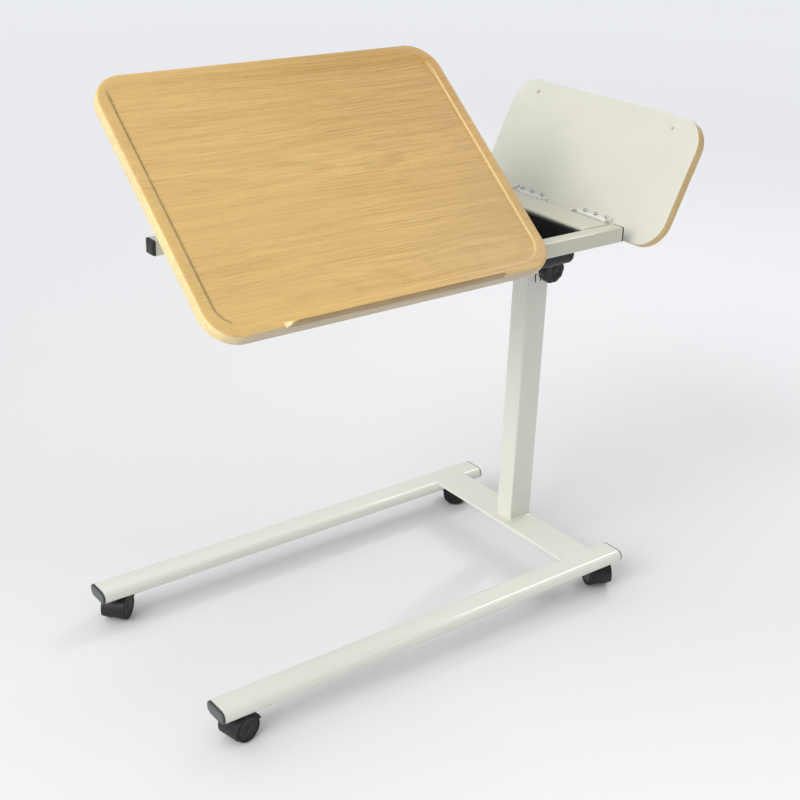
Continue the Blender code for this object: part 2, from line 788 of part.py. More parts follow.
def main_top_board():
    y1 = TOP_Y0 + TOP_DEPTH
    z0 = RAIL_TOP + MAIN_GAP
    outline = rounded_rect(MAIN_X0, TOP_Y0, MAIN_X1, y1, MAIN_CORNER, 8)
    board = plate("main_top_board", [outline], TOP_T, OAK_TOP, at(0, 0, z0 + TOP_T / 2, PLANE_XY))
    bevel(board, TOP_ROUND, 2)
    inset = rounded_rect(
        MAIN_X0 + RIM_W, TOP_Y0 + RIM_W, MAIN_X1 - RIM_W, y1 - RIM_W, RIM_CORNER, 6
    )
    recess = plate(
        "top_recess", [inset], 2 * RIM_DEPTH, None, at(0, 0, z0 + TOP_T, PLANE_XY), cutter=True
    )
    boolean(board, recess)
    carry(board, tilted())
    return board


def book_stop():
    """Strip on the near edge that keeps a book from sliding off the tilted top."""
    z0 = RAIL_TOP + MAIN_GAP + TOP_T + GAP
    outline = [
        (STOP_X0, 0), (STOP_X1, 0),
        (STOP_X1 - 0.001, STOP_H * 0.55), (STOP_X1 - STOP_TAPER, STOP_H),
        (STOP_X0 + STOP_TAPER, STOP_H), (STOP_X0 + 0.001, STOP_H * 0.55),
    ]
    y = TOP_Y0 + STOP_SET_BACK + STOP_W / 2
    strip = plate("book_stop", [outline], STOP_W, OAK_EDGE, at(0, y, z0, PLANE_XZ))
    bevel(strip, STOP_ROUND, 2)
    strip.matrix_world = tilted() @ strip.matrix_world
    return strip


def hinge_leaf(name, x_mid, z_mid, width, spans):
    """Hinge leaf with its knuckles: spans are the knuckles' ends along X."""
    y0 = TILT_Y + 0.0006
    leaf = box(
        name, (x_mid - HINGE_L / 2, TILT_Y + KNUCKLE_R + GAP, z_mid - LEAF_T / 2),
        (x_mid + HINGE_L / 2, TILT_Y + width, z_mid + LEAF_T / 2), STEEL_METAL,
    )
    helpers = []
    tab = LEAF_T / 2 - 0.0001
    for i, (a, b) in enumerate(spans):
        helpers.append(box(
            f"{name}_tab_{i}", (a, y0, z_mid - tab), (b, TILT_Y + 0.004, z_mid + tab), None, cutter=True
        ))
        helpers.append(cylinder(
            f"{name}_knuckle_{i}", ((a + b) / 2, TILT_Y, TILT_Z), "X", KNUCKLE_R, b - a, None, 16, True
        ))
    join(leaf, helpers)
    bore = cylinder(
        f"{name}_bore", (x_mid, TILT_Y, TILT_Z), "X", HINGE_BORE_R, HINGE_L * 1.2, None, 12, True
    )
    boolean(leaf, bore)
    return leaf


def knuckle_spans(x_mid):
    """Three knuckles along the hinge with running gaps: outer two fixed, middle one moving."""
    third = HINGE_L / 3
    x0 = x_mid - HINGE_L / 2
    fixed = [(x0, x0 + third - GAP), (x0 + 2 * third + GAP, x0 + HINGE_L)]
    moving = [(x0 + third + GAP, x0 + 2 * third - GAP)]
    return fixed, moving


def main_top_hinges():
    low = RAIL_TOP + GAP + LEAF_T / 2
    high = RAIL_TOP + MAIN_GAP - GAP - LEAF_T / 2
    for name, x in zip(("left", "right"), HINGE_X):
        fixed, moving = knuckle_spans(x)
        hinge_leaf(f"{name}_top_hinge_fixed_leaf", x, low, LEAF_FIXED_W, fixed)
        leaf = hinge_leaf(f"{name}_top_hinge_moving_leaf", x, high, LEAF_MOVING_W, moving)
        carry(leaf, tilted())
        cylinder(
            f"{name}_top_hinge_pin", (x, TILT_Y, TILT_Z), "X", HINGE_PIN_R, HINGE_L, STEEL_METAL, 12
        )


def stay_pivot():
    """Stay pivot in the flat pose: as far from the tilt axis as the arm is long."""
    return (STAY_X, TILT_Y + STAY_L, TILT_Z - STAY_DROP)


def stay_bracket():
    """Bracket under the main top with two ears for the stay's pivot pin."""
    x, y, z = stay_pivot()
    under = RAIL_TOP + MAIN_GAP - GAP
    inner = STAY_T / 2 + GAP
    low = (x - STAY_BASE_DX, y - STAY_BASE_DY, under - STAY_BASE_T)
    high = (x + STAY_BASE_DX, y + STAY_BASE_DY, under)
    bracket = box("stay_bracket", low, high, PAINTED)
    root_z = under - STAY_BASE_T / 2
    root_y = STAY_EAR_R + 0.001
    ears = []
    for side in (-1, 1):
        mid = x + side * (inner + STAY_EAR_T / 2)
        ear = [(y - root_y, root_z)] + arc(y, z, STAY_EAR_R, 180, 360, 8) + [(y + root_y, root_z)]
        place = at(mid, 0, 0, PLANE_YZ)
        ears.append(plate(f"stay_ear_{side}", [ear], STAY_EAR_T, None, place, cutter=True))
    join(bracket, ears)
    bore = cylinder("stay_bracket_bore", (x, y, z), "X", STAY_BORE_R, 0.05, None, 16, True)
    boolean(bracket, bore)
    carry(bracket, tilted())
    return bracket


def stay_pin():
    pin = cylinder("stay_pivot_pin", stay_pivot(), "X", STAY_PIN_R, STAY_PIN_L, STEEL_METAL, 16)
    pin.matrix_world = tilted() @ pin.matrix_world
    return pin


def tilt_stay_arm():
    """Flat prop with an eye at its pivot and a cross foot that stands on the track."""
    half = STAY_H / 2
    outline = arc(0, 0, half, 90, 270, 10) + arc(STAY_L, 0, half, -90, 90, 10)
    pivot = tilted() @ Vector(stay_pivot())
    rise = pivot.z - (TRACK_Z1 + STAY_FOOT_R + STAY_FOOT_GAP)
    slope = math.asin(rise / STAY_L)
    place = Matrix.Translation(pivot) @ Matrix.Rotation(-slope, 4, "X") @ PLANE_YZ
    arm = plate("tilt_stay_arm", [outline], STAY_T, PAINTED, place)
    foot = cylinder("stay_foot", (0, 0, 0), "Z", STAY_FOOT_R, STAY_FOOT_L, None, 20, True)
    foot.matrix_world = place @ Matrix.Translation((STAY_L, 0, 0))
    join(arm, [foot])
    eye = cylinder("stay_eye", (0, 0, 0), "Z", STAY_BORE_R, 0.05, None, 16, True)
    eye.matrix_world = place
    boolean(arm, eye)
    return arm


# ---------------------------------------------------------------- small top

def flipped():
    return rotation_about((LID_PIVOT_X, 0, LID_PIVOT_Z), "Y", LID_OPEN)


def small_top_board():
    x1 = LID_PIVOT_X + LID_EDGE
    y1 = TOP_Y0 + TOP_DEPTH
    outline = rounded_rect(x1 - LID_L, TOP_Y0, x1, y1, LID_CORNER, 8)
    z = RAIL_TOP + LID_GAP + TOP_T / 2
    board = plate("small_top_board", [outline], TOP_T, OAK_TOP, at(0, 0, z, PLANE_XY))
    bevel(board, LID_ROUND, 2)
    board.matrix_world = flipped() @ board.matrix_world
    return board


def lid_hinge_leaf(name, side):
    """Leaf under the small top with an ear at each end that drops to the pivot, the outer one wider."""
    under = RAIL_TOP + LID_GAP - GAP
    y_in = side * LID_HINGE_Y0
    y_out = side * LID_HINGE_Y1
    low = (LID_PIVOT_X - LID_LEAF_IN, min(y_in, y_out), under - LID_LEAF_T)
    high = (LID_PIVOT_X + LID_LEAF_OUT, max(y_in, y_out), under)
    leaf = box(name, low, high, PAINTED)
    x = LID_PIVOT_X
    z = LID_PIVOT_Z
    root = under - LID_LEAF_T / 2
    y_inner_ear = y_in + side * LID_EAR_T / 2
    y_outer_ear = y_out - side * LID_EAR_T / 2
    ears = []
    for y, reach in ((y_inner_ear, LID_EAR_R), (y_outer_ear, LID_GUSSET)):
        ear = [(x + LID_EAR_R, root), (x - reach, root)] + arc(x, z, LID_EAR_R, 180, 360, 10)
        place = at(0, y, 0, PLANE_XZ)
        ears.append(plate(f"{name}_ear_{reach}", [ear], LID_EAR_T, None, place, cutter=True))
    join(leaf, ears)
    boolean(leaf, lid_hinge_bore(name, (y_in + y_out) / 2))
    carry(leaf, flipped())
    return leaf


def lid_hinge_bore(name, y_mid):
    """Cutter for the pin's hole through both ears or arms of a lid hinge piece."""
    length = LID_HINGE_Y1 - LID_HINGE_Y0 + 2 * LID_EAR_T
    centre = (LID_PIVOT_X, y_mid, LID_PIVOT_Z)
    return cylinder(f"{name}_bore", centre, "Y", LID_BORE_R, length, None, 16, True)


def lid_hinge_bracket(name, side):
    """Bracket on the frame's end with two arms that hold the hinge pin."""
    y_a = side * (LID_HINGE_Y0 + LID_EAR_T + GAP)
    y_b = side * (LID_HINGE_Y1 + GAP)
    x0 = CROSS_X1 + GAP
    root = x0 + LID_BACK_T / 2
    span = sorted((y_a, y_b + side * LID_EAR_T))
    low = (x0, span[0], LID_PIVOT_Z - LID_BACK_DROP)
    high = (x0 + LID_BACK_T, span[1], LID_PIVOT_Z + LID_ARM_R + GAP)
    bracket = box(name, low, high, PAINTED)
    arms = []
    for i, y in enumerate((y_a + side * LID_EAR_T / 2, y_b + side * LID_EAR_T / 2)):
        arm = [(root, LID_PIVOT_Z - LID_ARM_R)]
        arm += arc(LID_PIVOT_X, LID_PIVOT_Z, LID_ARM_R, -90, 90, 10)
        arm += [(root, LID_PIVOT_Z + LID_ARM_R)]
        arms.append(plate(f"{name}_arm_{i}", [arm], LID_EAR_T, None, at(0, y, 0, PLANE_XZ), cutter=True))
    join(bracket, arms)
    boolean(bracket, lid_hinge_bore(name, (y_a + y_b + side * LID_EAR_T) / 2))
    return bracket


def lid_hinge_pin(name, side):
    y0 = side * LID_HINGE_Y0
    y1 = side * (LID_HINGE_Y1 + GAP + LID_EAR_T + 0.0005)
    return cylinder(
        name, (LID_PIVOT_X, (y0 + y1) / 2, LID_PIVOT_Z), "Y", LID_PIN_R, abs(y1 - y0), STEEL_METAL, 16
    )


def lid_bumper(name, side):
    """Rubber button near the free edge that lands on the rail when the lid is shut."""
    x = LID_PIVOT_X + LID_EDGE - LID_L + BUMPER_EDGE
    z = RAIL_TOP + LID_GAP - GAP - BUMPER_H / 2
    button = cylinder(name, (x, side * BUMPER_Y, z), "Z", BUMPER_R, BUMPER_H, BLACK_RUBBER, 20)
    button.matrix_world = flipped() @ button.matrix_world
    return button


# ---------------------------------------------------------------- assembly

clear_scene()
PARTS = make_collection("overbed_table")
CUTTERS = make_collection("cutters")
PAINTED = material("painted_steel", PAINT, 0.35)
BLACK_PLASTIC = material("black_plastic", BLACK, 0.45)
BLACK_RUBBER = material("black_tyre", BLACK, 0.6)
BLACK_TRAY = material("black_tray", BLACK, 0.5)
DARK_PLUG = material("grey_plug", GREY_PLUG, 0.5)
BUSH_PLASTIC = material("bush_plastic", BUSH, 0.5)
OAK_TOP = material("oak_laminate", OAK, 0.4)
OAK_EDGE = material("oak_edge", OAK, 0.45)
STEEL_METAL = material("bright_steel", STEEL, 0.3, 1.0)


def build_stand():
    for prefix, side in (("near", -1), ("far", 1)):
        stems = [(x, y) for x, y, _ in CASTORS.values() if y * side > 0]
        foot_tube(f"{prefix}_foot_tube", side, stems)
        foot_plug(f"{prefix}_front_foot_plug", FOOT_X0, side, 1)
        foot_plug(f"{prefix}_rear_foot_plug", FOOT_X1, side, -1)
    base_cross_plate()
    outer_mast()
    mast_guide_bush()
    clamp_boss()
    clamp_stud()
    clamp_knob()
    castors()


def build_upper_frame():
    inner_mast()
    for prefix, side in (("near", -1), ("far", 1)):
        rail(f"{prefix}_rail", side)
        rail_cap(f"{prefix}_left_rail_cap", RAIL_X0, side, 1)
        rail_cap(f"{prefix}_right_rail_cap", RAIL_X1, side, -1)
        lid_hinge_bracket(f"{prefix}_lid_hinge_bracket", side)
        lid_hinge_pin(f"{prefix}_lid_hinge_pin", side)
    cross_tube("right_cross_tube", CROSS_X0, CROSS_X1)
    cross_tube("left_cross_tube", LEFT_CROSS_X0, LEFT_CROSS_X0 + LEFT_CROSS_W)
    storage_tray()
    tray_ledge()
    stay_track()


def build_main_top():
    main_top_board()
    book_stop()
    main_top_hinges()
    stay_bracket()
    stay_pin()
    tilt_stay_arm()


def build_small_top():
    small_top_board()
    for prefix, side in (("near", -1), ("far", 1)):
        lid_hinge_leaf(f"{prefix}_lid_hinge_leaf", side)
        lid_bumper(f"{prefix}_lid_bumper", side)


build_stand()
build_upper_frame()
build_main_top()
build_small_top()
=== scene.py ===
"""Looks of an overbed table: smooth outer pieces, finishes, floor and light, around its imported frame."""

import json
import math

import bmesh
import bpy
from mathutils import Matrix, Vector


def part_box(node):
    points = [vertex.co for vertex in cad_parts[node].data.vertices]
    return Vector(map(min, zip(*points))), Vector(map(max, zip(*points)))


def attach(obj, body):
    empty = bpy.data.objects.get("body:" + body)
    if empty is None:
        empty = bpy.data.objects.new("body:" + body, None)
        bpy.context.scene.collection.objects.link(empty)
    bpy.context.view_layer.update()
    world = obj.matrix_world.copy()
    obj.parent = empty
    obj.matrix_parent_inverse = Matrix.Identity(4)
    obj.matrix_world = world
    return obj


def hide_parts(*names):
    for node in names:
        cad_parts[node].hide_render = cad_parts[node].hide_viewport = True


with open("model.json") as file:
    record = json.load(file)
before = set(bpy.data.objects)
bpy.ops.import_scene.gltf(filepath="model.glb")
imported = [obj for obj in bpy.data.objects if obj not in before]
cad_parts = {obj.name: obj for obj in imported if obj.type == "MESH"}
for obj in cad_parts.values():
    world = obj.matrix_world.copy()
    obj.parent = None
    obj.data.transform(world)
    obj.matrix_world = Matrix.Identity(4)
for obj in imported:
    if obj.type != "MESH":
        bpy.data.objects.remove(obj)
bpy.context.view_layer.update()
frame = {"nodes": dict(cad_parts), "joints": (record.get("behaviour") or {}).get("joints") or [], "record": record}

# Lengths are in metres. Colours are linear RGB.
NODES = frame["nodes"]
JOINTS = {joint["name"]: joint for joint in frame["joints"]}
UPPER_FRAME = frame["record"]["behaviour"]["bodies"]["upper_frame"]
# upper frame nodes that get the darker painted-shade copy of the paint
SHADED_FRAME_NODES = [name for name in UPPER_FRAME if "mast" not in name]
IDENTITY = Matrix.Identity(4)

# Camera and floor
CAMERA_PLACE = (-1.1670, -1.5115, 1.2160)
CAMERA_YAW = math.radians(51.96)
CAMERA_PITCH = math.radians(24.40)
CAMERA_ROLL = math.radians(2.01)
CAMERA_LENS = 61.59
SENSOR = 36.0
FLOOR_SIZE = 60.0
FLOOR_GAP = 0.0004

# Boards
TOP_ROUND = 0.0042                  # between a board's edge and its face
BOTTOM_ROUND = 0.0026               # between a board's edge and its underside
FACE_ROWS = 6                       # rows of the top round that are finished like the face
MAIN_CORNER = 0.046
SMALL_CORNER = 0.045
SHARPEST_CORNER = 0.012
FACE_INSET = 0.030                  # innermost ring on a plain face
FACE_CORNER = 0.020
RIM_WIDTH = 0.0165                  # from the board's edge to the recess
RIM_CORNER = 0.034
RIM_DEPTH = 0.0027
COVE = 0.0026                       # width of the slope down into the recess
COVE_SLOPE = ((0.0, 0.10), (0.2, 0.34), (0.45, 0.72), (0.75, 0.94), (1.0, 1.0))    # shares across, down
FAR_COVE = 0.020                    # how much wider the slope is along the far side
FAR_LEFT_CORNER = 0.010
GROOVE = 0.0024                     # strip at the foot of the slope
STOP_END = 0.014                    # length over which the book stop rises at each end
STOP_END_STEPS = 12
STOP_ROUND = 0.0028

# Tubes, plugs and plate
WALL = 0.002
CUT_EDGE = 0.0003
TUBE_CORNER = 0.003
MAST_CORNER = 0.0025
PLUG_FIT = 0.0023                   # from a plug's outline to its spigot's
SEAM_HALF = 0.0026                  # half width of a ground weld line
WELD_PROFILE = ((0.0034, 0.0), (0.0020, 0.0004), (0.0010, 0.0011), (0.0004, 0.0022), (-0.0004, 0.0030))

# Castors
HOOD_WALL = 0.0022
HOOD_ARC = (15, 205)                # degrees round the axle, from straight ahead
WEB_ARC = (18, 202)
WEB_FOOT = 0.0165
WEB_GAP = 0.0004
WHEEL_GAP = 0.0008
COLLAR_BASE = 0.0375
COLLAR_FLARE = 0.0088
COLLAR_RADIUS = 0.0078

# Knob and tray
KNOB_LOBES = 10
LOBE_DEPTH = 0.055
KNOB_BODY = 0.017
KNOB_FACE_ROUND = 0.0045
KNOB_BACK_ROUND = 0.0035
TRAY_CORNER = 0.012
TRAY_INSET = 0.012                  # from the lip to the box, at the left end

# Colours
OAK_LIGHT = (0.690, 0.468, 0.172)
OAK_MID = (0.585, 0.373, 0.120)
OAK_DARK = (0.430, 0.250, 0.070)
OAK_PORE = (0.250, 0.135, 0.040)
# painted sheen and painted shade that the main top's light gradient mixes in
OAK_SHEEN = (0.620, 0.440, 0.240)
OAK_FAR_SHADE = (0.76, 0.66, 0.50)
# edge band oak, paler than the top as a painted highlight along the edges
EDGE_HIGHLIGHT = (0.790, 0.650, 0.340)
EDGE_DARK = (0.600, 0.430, 0.200)
# painted shade multiplied onto the edge band where it faces the front
FRONT_SHADE_TINT = (0.70, 0.72, 0.98)
SIDE_TONES = ((0.620, 0.450, 0.210), (0.560, 0.400, 0.180), (0.400, 0.265, 0.110))
# painted shade down the left of the recess, painted light down its right
GROOVE_SHADE_TONES = ((0.500, 0.335, 0.115), (0.430, 0.275, 0.085), (0.300, 0.185, 0.055))
COVE_LIGHT_TONES = ((0.620, 0.450, 0.190), (0.570, 0.400, 0.150), OAK_MID)
# painted shade: tones for the book stop's front
STOP_SHADE_LIGHT = (0.400, 0.275, 0.130)
STOP_SHADE_DARK = (0.240, 0.155, 0.070)
LAMINATE_WHITE = (0.590, 0.590, 0.520)
LAMINATE_SPECK = (0.460, 0.450, 0.390)
PAINT = (0.705, 0.705, 0.630)
# the same powder coat darkened, as painted shade on the upper frame
FRAME_PAINT_SHADE = (0.500, 0.492, 0.400)
BLACK = (0.009, 0.009, 0.010)
BLACK_WORN = (0.026, 0.026, 0.029)
TYRE = (0.009, 0.009, 0.010)
TYRE_SCUFF = (0.040, 0.039, 0.038)
TYRE_DUST = (0.090, 0.088, 0.082)
TRAY_BLACK = (0.008, 0.008, 0.009)
TRAY_WORN = (0.022, 0.022, 0.025)
PLUG_GREY = (0.085, 0.092, 0.092)
PLUG_WORN = (0.160, 0.170, 0.170)
PLUG_DARK = (0.030, 0.032, 0.034)
BUSH_GREY = (0.110, 0.112, 0.118)
BUSH_WORN = (0.190, 0.190, 0.200)
BUMPER_GREY = (0.500, 0.500, 0.450)
BUMPER_WORN = (0.600, 0.600, 0.540)
STEEL = (0.600, 0.605, 0.615)
STEEL_DARK = (0.380, 0.385, 0.395)
FLOOR_COLOUR = (0.735, 0.742, 0.757)
# painted pool of light on the floor towards the near left
FLOOR_LIGHT_POOL = (0.935, 0.940, 0.945)
FLOOR_FAR = (0.790, 0.806, 0.848)


# ---------------------------------------------------------------- node graphs

def shade(colour, factor):
    return tuple(factor * part for part in colour)


class Graph:
    """A material's node tree with short calls for the nodes the finishes share."""

    def __init__(self, name):
        self.material = bpy.data.materials.new(name)
        self.material.use_nodes = True
        self.tree = self.material.node_tree
        self.shader = self.tree.nodes["Principled BSDF"]
        self.coords = self.node("ShaderNodeTexCoord").outputs["Object"]

    def node(self, kind, **inputs):
        node = self.tree.nodes.new(kind)
        for key, value in inputs.items():
            self.put(node.inputs[key], value)
        return node

    def put(self, socket, value):
        if isinstance(value, bpy.types.NodeSocket):
            self.tree.links.new(value, socket)
        elif isinstance(value, tuple) and len(value) == 3 and len(socket.default_value) == 4:
            socket.default_value = (*value, 1.0)
        else:
            socket.default_value = value

    def stretched(self, x, y, z):
        """Object coordinates scaled on each axis, for grain that runs one way."""
        return self.node("ShaderNodeMapping", Vector=self.coords, Scale=(x, y, z)).outputs["Vector"]

    def noise(self, vector, scale, detail=3.0, roughness=0.5, distortion=0.0):
        node = self.node(
            "ShaderNodeTexNoise", Vector=vector, Scale=scale, Detail=detail, Roughness=roughness,
            Distortion=distortion,
        )
        return node.outputs["Fac"]

    def ramp(self, value, low, high, start=0.0, end=1.0):
        """Value remapped from low..high to start..end, clamped."""
        node = self.node("ShaderNodeMapRange", Value=value)
        self.put(node.inputs["From Min"], low)
        self.put(node.inputs["From Max"], high)
        self.put(node.inputs["To Min"], start)
        self.put(node.inputs["To Max"], end)
        return node.outputs["Result"]

    def maths(self, operation, a, b=0.0):
        node = self.tree.nodes.new("ShaderNodeMath")
        node.operation = operation
        self.put(node.inputs[0], a)
        self.put(node.inputs[1], b)
        return node.outputs[0]

    def mix(self, factor, a, b, blend="MIX"):
        node = self.tree.nodes.new("ShaderNodeMix")
        node.data_type = "RGBA"
        node.blend_type = blend
        self.put(node.inputs["Factor"], factor)
        for socket, value in (("A_Color", a), ("B_Color", b)):
            self.put(next(item for item in node.inputs if item.identifier == socket), value)
        return next(item for item in node.outputs if item.identifier == "Result_Color")

    def bump(self, height, strength, distance, normal=None):
        node = self.node("ShaderNodeBump", Height=height, Strength=strength, Distance=distance)
        if normal:
            self.put(node.inputs["Normal"], normal)
        return node.outputs["Normal"]

    def worn_edges(self, low=0.52, high=0.60):
        """High along outside edges, where a finish wears or catches light."""
        geometry = self.node("ShaderNodeNewGeometry")
        return self.ramp(geometry.outputs["Pointiness"], low, high)

    def axis_part(self, vector, axis):
        return self.node("ShaderNodeSeparateXYZ", Vector=vector).outputs[axis]

    def finish(self, colour, roughness, normal=None, metallic=0.0, specular=0.5):
        self.put(self.shader.inputs["Base Color"], colour)
        self.put(self.shader.inputs["Roughness"], roughness)
        self.put(self.shader.inputs["Metallic"], metallic)
        self.put(self.shader.inputs["Specular IOR Level"], specular)
        if normal:
            self.put(self.shader.inputs["Normal"], normal)
        return self.material


def wood(name, light, mid, dark, pore_strength=0.28, light_gradient=False, front_shade=None):
    """Oak print under a satin coat, grain along the piece's own X."""
    g = Graph(name)
    warp = g.noise(g.stretched(2.2, 9.0, 9.0), 1.0, 2.0)
    warped = g.node("ShaderNodeVectorMath", Vector=g.coords)
    warped.operation = "ADD"
    bend = g.node("ShaderNodeCombineXYZ", Y=g.maths("MULTIPLY", warp, 0.030))
    g.put(warped.inputs[1], bend.outputs["Vector"])
    coords = warped.outputs["Vector"]

    def along(x, y, offset=(0.0, 0.0, 0.0)):
        mapping = g.node("ShaderNodeMapping", Vector=coords, Scale=(x, y, y), Location=offset)
        return mapping.outputs["Vector"]

    broad = g.noise(along(1.4, 11.0), 1.0, 2.0, 0.5, 0.2)
    bands = g.noise(along(2.6, 62.0, (3.0, 1.0, 0.0)), 1.0, 2.0, 0.5, 0.15)
    streaks = g.noise(along(8.0, 620.0, (7.0, 2.0, 0.0)), 1.0, 2.0, 0.60, 0.2)
    mottle = g.noise(along(160.0, 300.0, (9.0, 7.0, 0.0)), 1.0, 2.0, 0.60)
    glow = g.noise(along(2.4, 120.0, (11.0, 4.0, 0.0)), 1.0, 3.0, 0.6)
    pores = g.noise(along(26.0, 900.0, (1.0, 5.0, 0.0)), 1.0, 1.5, 0.5)
    rings = g.noise(along(0.9, 10.0, (2.0, 8.0, 0.0)), 1.0, 1.5, 0.45)
    contour = g.maths("SINE", g.maths("MULTIPLY", rings, 150.0))
    figured = g.ramp(g.noise(along(1.1, 7.0, (6.0, 3.0, 0.0)), 1.0, 1.0), 0.45, 0.60, 0.15, 1.0)
    patch = g.ramp(g.noise(along(3.0, 24.0, (5.0, 9.0, 0.0)), 1.0, 2.0), 0.40, 0.60, 0.30, 1.0)
    tone = g.mix(g.ramp(broad, 0.38, 0.62, 0.0, 0.7), light, mid)
    tone = g.mix(g.ramp(bands, 0.50, 0.70, 0.0, 0.26), tone, dark)
    tone = g.mix(g.maths("MULTIPLY", g.ramp(contour, 0.30, 1.0, 0.0, 0.34), figured), tone, dark)
    tone = g.mix(g.ramp(streaks, 0.48, 0.66, 0.0, 0.38), tone, dark)
    tone = g.mix(g.ramp(glow, 0.52, 0.68, 0.0, 0.55), tone, shade(light, 1.10))
    tone = g.mix(g.ramp(streaks, 0.50, 0.34, 0.0, 0.42), tone, shade(light, 1.22))
    tone = g.mix(g.ramp(mottle, 0.50, 0.72, 0.0, 0.22), tone, dark)
    # painted light, painted sheen and painted shade across the piece
    if light_gradient:
        tone = paint_light_gradient(g, tone)
    # painted shade on sides that face -Y
    if front_shade:
        tone = g.mix(front_shade_mask(g), tone, front_shade, "MULTIPLY")
    pore_mask = g.maths("MULTIPLY", g.ramp(pores, 0.58, 0.66, 0.0, pore_strength), patch)
    tone = g.mix(pore_mask, tone, OAK_PORE)
    height = g.maths("SUBTRACT", g.maths("MULTIPLY", streaks, 0.4), pore_mask)
    normal = g.bump(height, 0.16, 0.0003)
    roughness = g.ramp(streaks, 0.3, 0.7, 0.34, 0.44)
    return g.finish(tone, roughness, normal, specular=0.45)


def front_shade_mask(g):
    """Mask for painted shade on front-facing sides: 1 where a piece's side faces its own -Y, falling to 0 round
    the corners.
    """
    normal = g.node("ShaderNodeTexCoord").outputs["Normal"]
    sideways = g.maths("ABSOLUTE", g.axis_part(normal, "X"))
    forward = g.ramp(g.axis_part(normal, "Y"), 0.0, -0.2)
    return g.maths("MULTIPLY", g.ramp(sideways, 0.02, 0.70, 1.0, 0.0), forward)


def paint_light_gradient(g, tone):
    """Painted light across the main top: paler to the left where the light falls, a pinker painted sheen at the
    near right, painted shade deeper at the far right.
    """
    x = g.axis_part(g.coords, "X")
    y = g.axis_part(g.coords, "Y")
    tone = g.mix(g.ramp(x, -0.27, 0.12, 0.55, 0.0), tone, shade(OAK_LIGHT, 1.05))
    tone = g.mix(g.ramp(g.maths("SUBTRACT", x, y), -0.02, 0.32, 0.0, 0.60), tone, OAK_SHEEN)
    return g.mix(g.ramp(g.maths("ADD", x, y), 0.15, 0.62), tone, OAK_FAR_SHADE, "MULTIPLY")


def painted_steel(name, paint):
    """Pale grey powder coat with a gloss skin: faint orange peel, slight colour drift."""
    g = Graph(name)
    drift = g.noise(g.coords, 4.0, 1.0)
    tone = g.mix(g.ramp(drift, 0.20, 0.80), paint, shade(paint, 0.975))
    speck = g.noise(g.coords, 420.0, 2.0)
    tone = g.mix(g.ramp(speck, 0.60, 0.75, 0.0, 0.10), tone, shade(paint, 0.80))
    tone = g.mix(g.maths("MULTIPLY", g.worn_edges(), 0.35), tone, shade(paint, 1.14))
    peel = g.noise(g.coords, 700.0, 2.0, 0.5)
    fine = g.noise(g.coords, 2600.0, 1.0)
    normal = g.bump(fine, 0.05, 0.0001, g.bump(peel, 0.09, 0.0003))
    g.put(g.shader.inputs["Coat Weight"], 1.0)
    g.put(g.shader.inputs["Coat Roughness"], 0.06)
    return g.finish(tone, g.ramp(drift, 0.2, 0.8, 0.28, 0.34), normal, specular=0.40)


def moulded(name, base, worn, grain=1800.0, roughness=0.42, wear=0.5):
    """Moulded plastic or rubber: fine grain, handled patches, worn outside edges."""
    g = Graph(name)
    cloud = g.noise(g.coords, 32.0, 4.0, 0.6)
    tone = g.mix(g.ramp(cloud, 0.45, 0.75, 0.0, 0.30), base, worn)
    tone = g.mix(g.maths("MULTIPLY", g.worn_edges(0.53, 0.64), wear), tone, worn)
    texture = g.node("ShaderNodeTexVoronoi", Vector=g.coords, Scale=grain)
    grain_height = texture.outputs["Distance"]
    pits = g.noise(g.coords, grain * 0.6, 2.0)
    normal = g.bump(pits, 0.10, 0.0002, g.bump(grain_height, 0.16, 0.00015))
    rough = g.ramp(cloud, 0.3, 0.75, roughness - 0.06, roughness + 0.10)
    return g.finish(tone, rough, normal, specular=0.38)


def tyre_rubber():
    """Grey-black tread: scuffs run round the tyre, dust sits low on the sides."""
    g = Graph("tyre_rubber")
    scuffs = g.noise(g.stretched(60.0, 60.0, 900.0), 1.0, 4.0, 0.7)
    dust = g.noise(g.coords, 90.0, 4.0, 0.65)
    tone = g.mix(g.ramp(scuffs, 0.50, 0.72, 0.0, 0.45), TYRE, TYRE_SCUFF)
    tone = g.mix(g.ramp(dust, 0.52, 0.80, 0.0, 0.35), tone, TYRE_DUST)
    normal = g.bump(g.noise(g.coords, 2200.0, 2.0), 0.18, 0.0002)
    return g.finish(tone, g.ramp(dust, 0.3, 0.7, 0.46, 0.66), normal, specular=0.35)


def bright_metal():
    """Zinc-plated steel: brushed lines along the piece, smudged roughness."""
    g = Graph("plated_steel")
    brush = g.noise(g.stretched(140.0, 2600.0, 2600.0), 1.0, 3.0, 0.7)
    smudge = g.noise(g.coords, 120.0, 3.0)
    tone = g.mix(g.ramp(brush, 0.40, 0.65), STEEL, STEEL_DARK)
    normal = g.bump(brush, 0.10, 0.0001)
    return g.finish(tone, g.ramp(smudge, 0.35, 0.7, 0.22, 0.42), normal, metallic=1.0)


def white_laminate():
    """White backing sheet: faint mottling, fine pebble texture."""
    g = Graph("white_laminate")
    mottling = g.noise(g.coords, 11.0, 4.0, 0.55)
    tone = g.mix(g.ramp(mottling, 0.35, 0.68), LAMINATE_WHITE, shade(LAMINATE_WHITE, 0.955))
    speck = g.noise(g.coords, 650.0, 2.0)
    tone = g.mix(g.ramp(speck, 0.62, 0.76, 0.0, 0.12), tone, LAMINATE_SPECK)
    pebble = g.node("ShaderNodeTexVoronoi", Vector=g.coords, Scale=1100.0)
    normal = g.bump(pebble.outputs["Distance"], 0.07, 0.00015)
    return g.finish(tone, g.ramp(mottling, 0.3, 0.7, 0.44, 0.54), normal, specular=0.35)


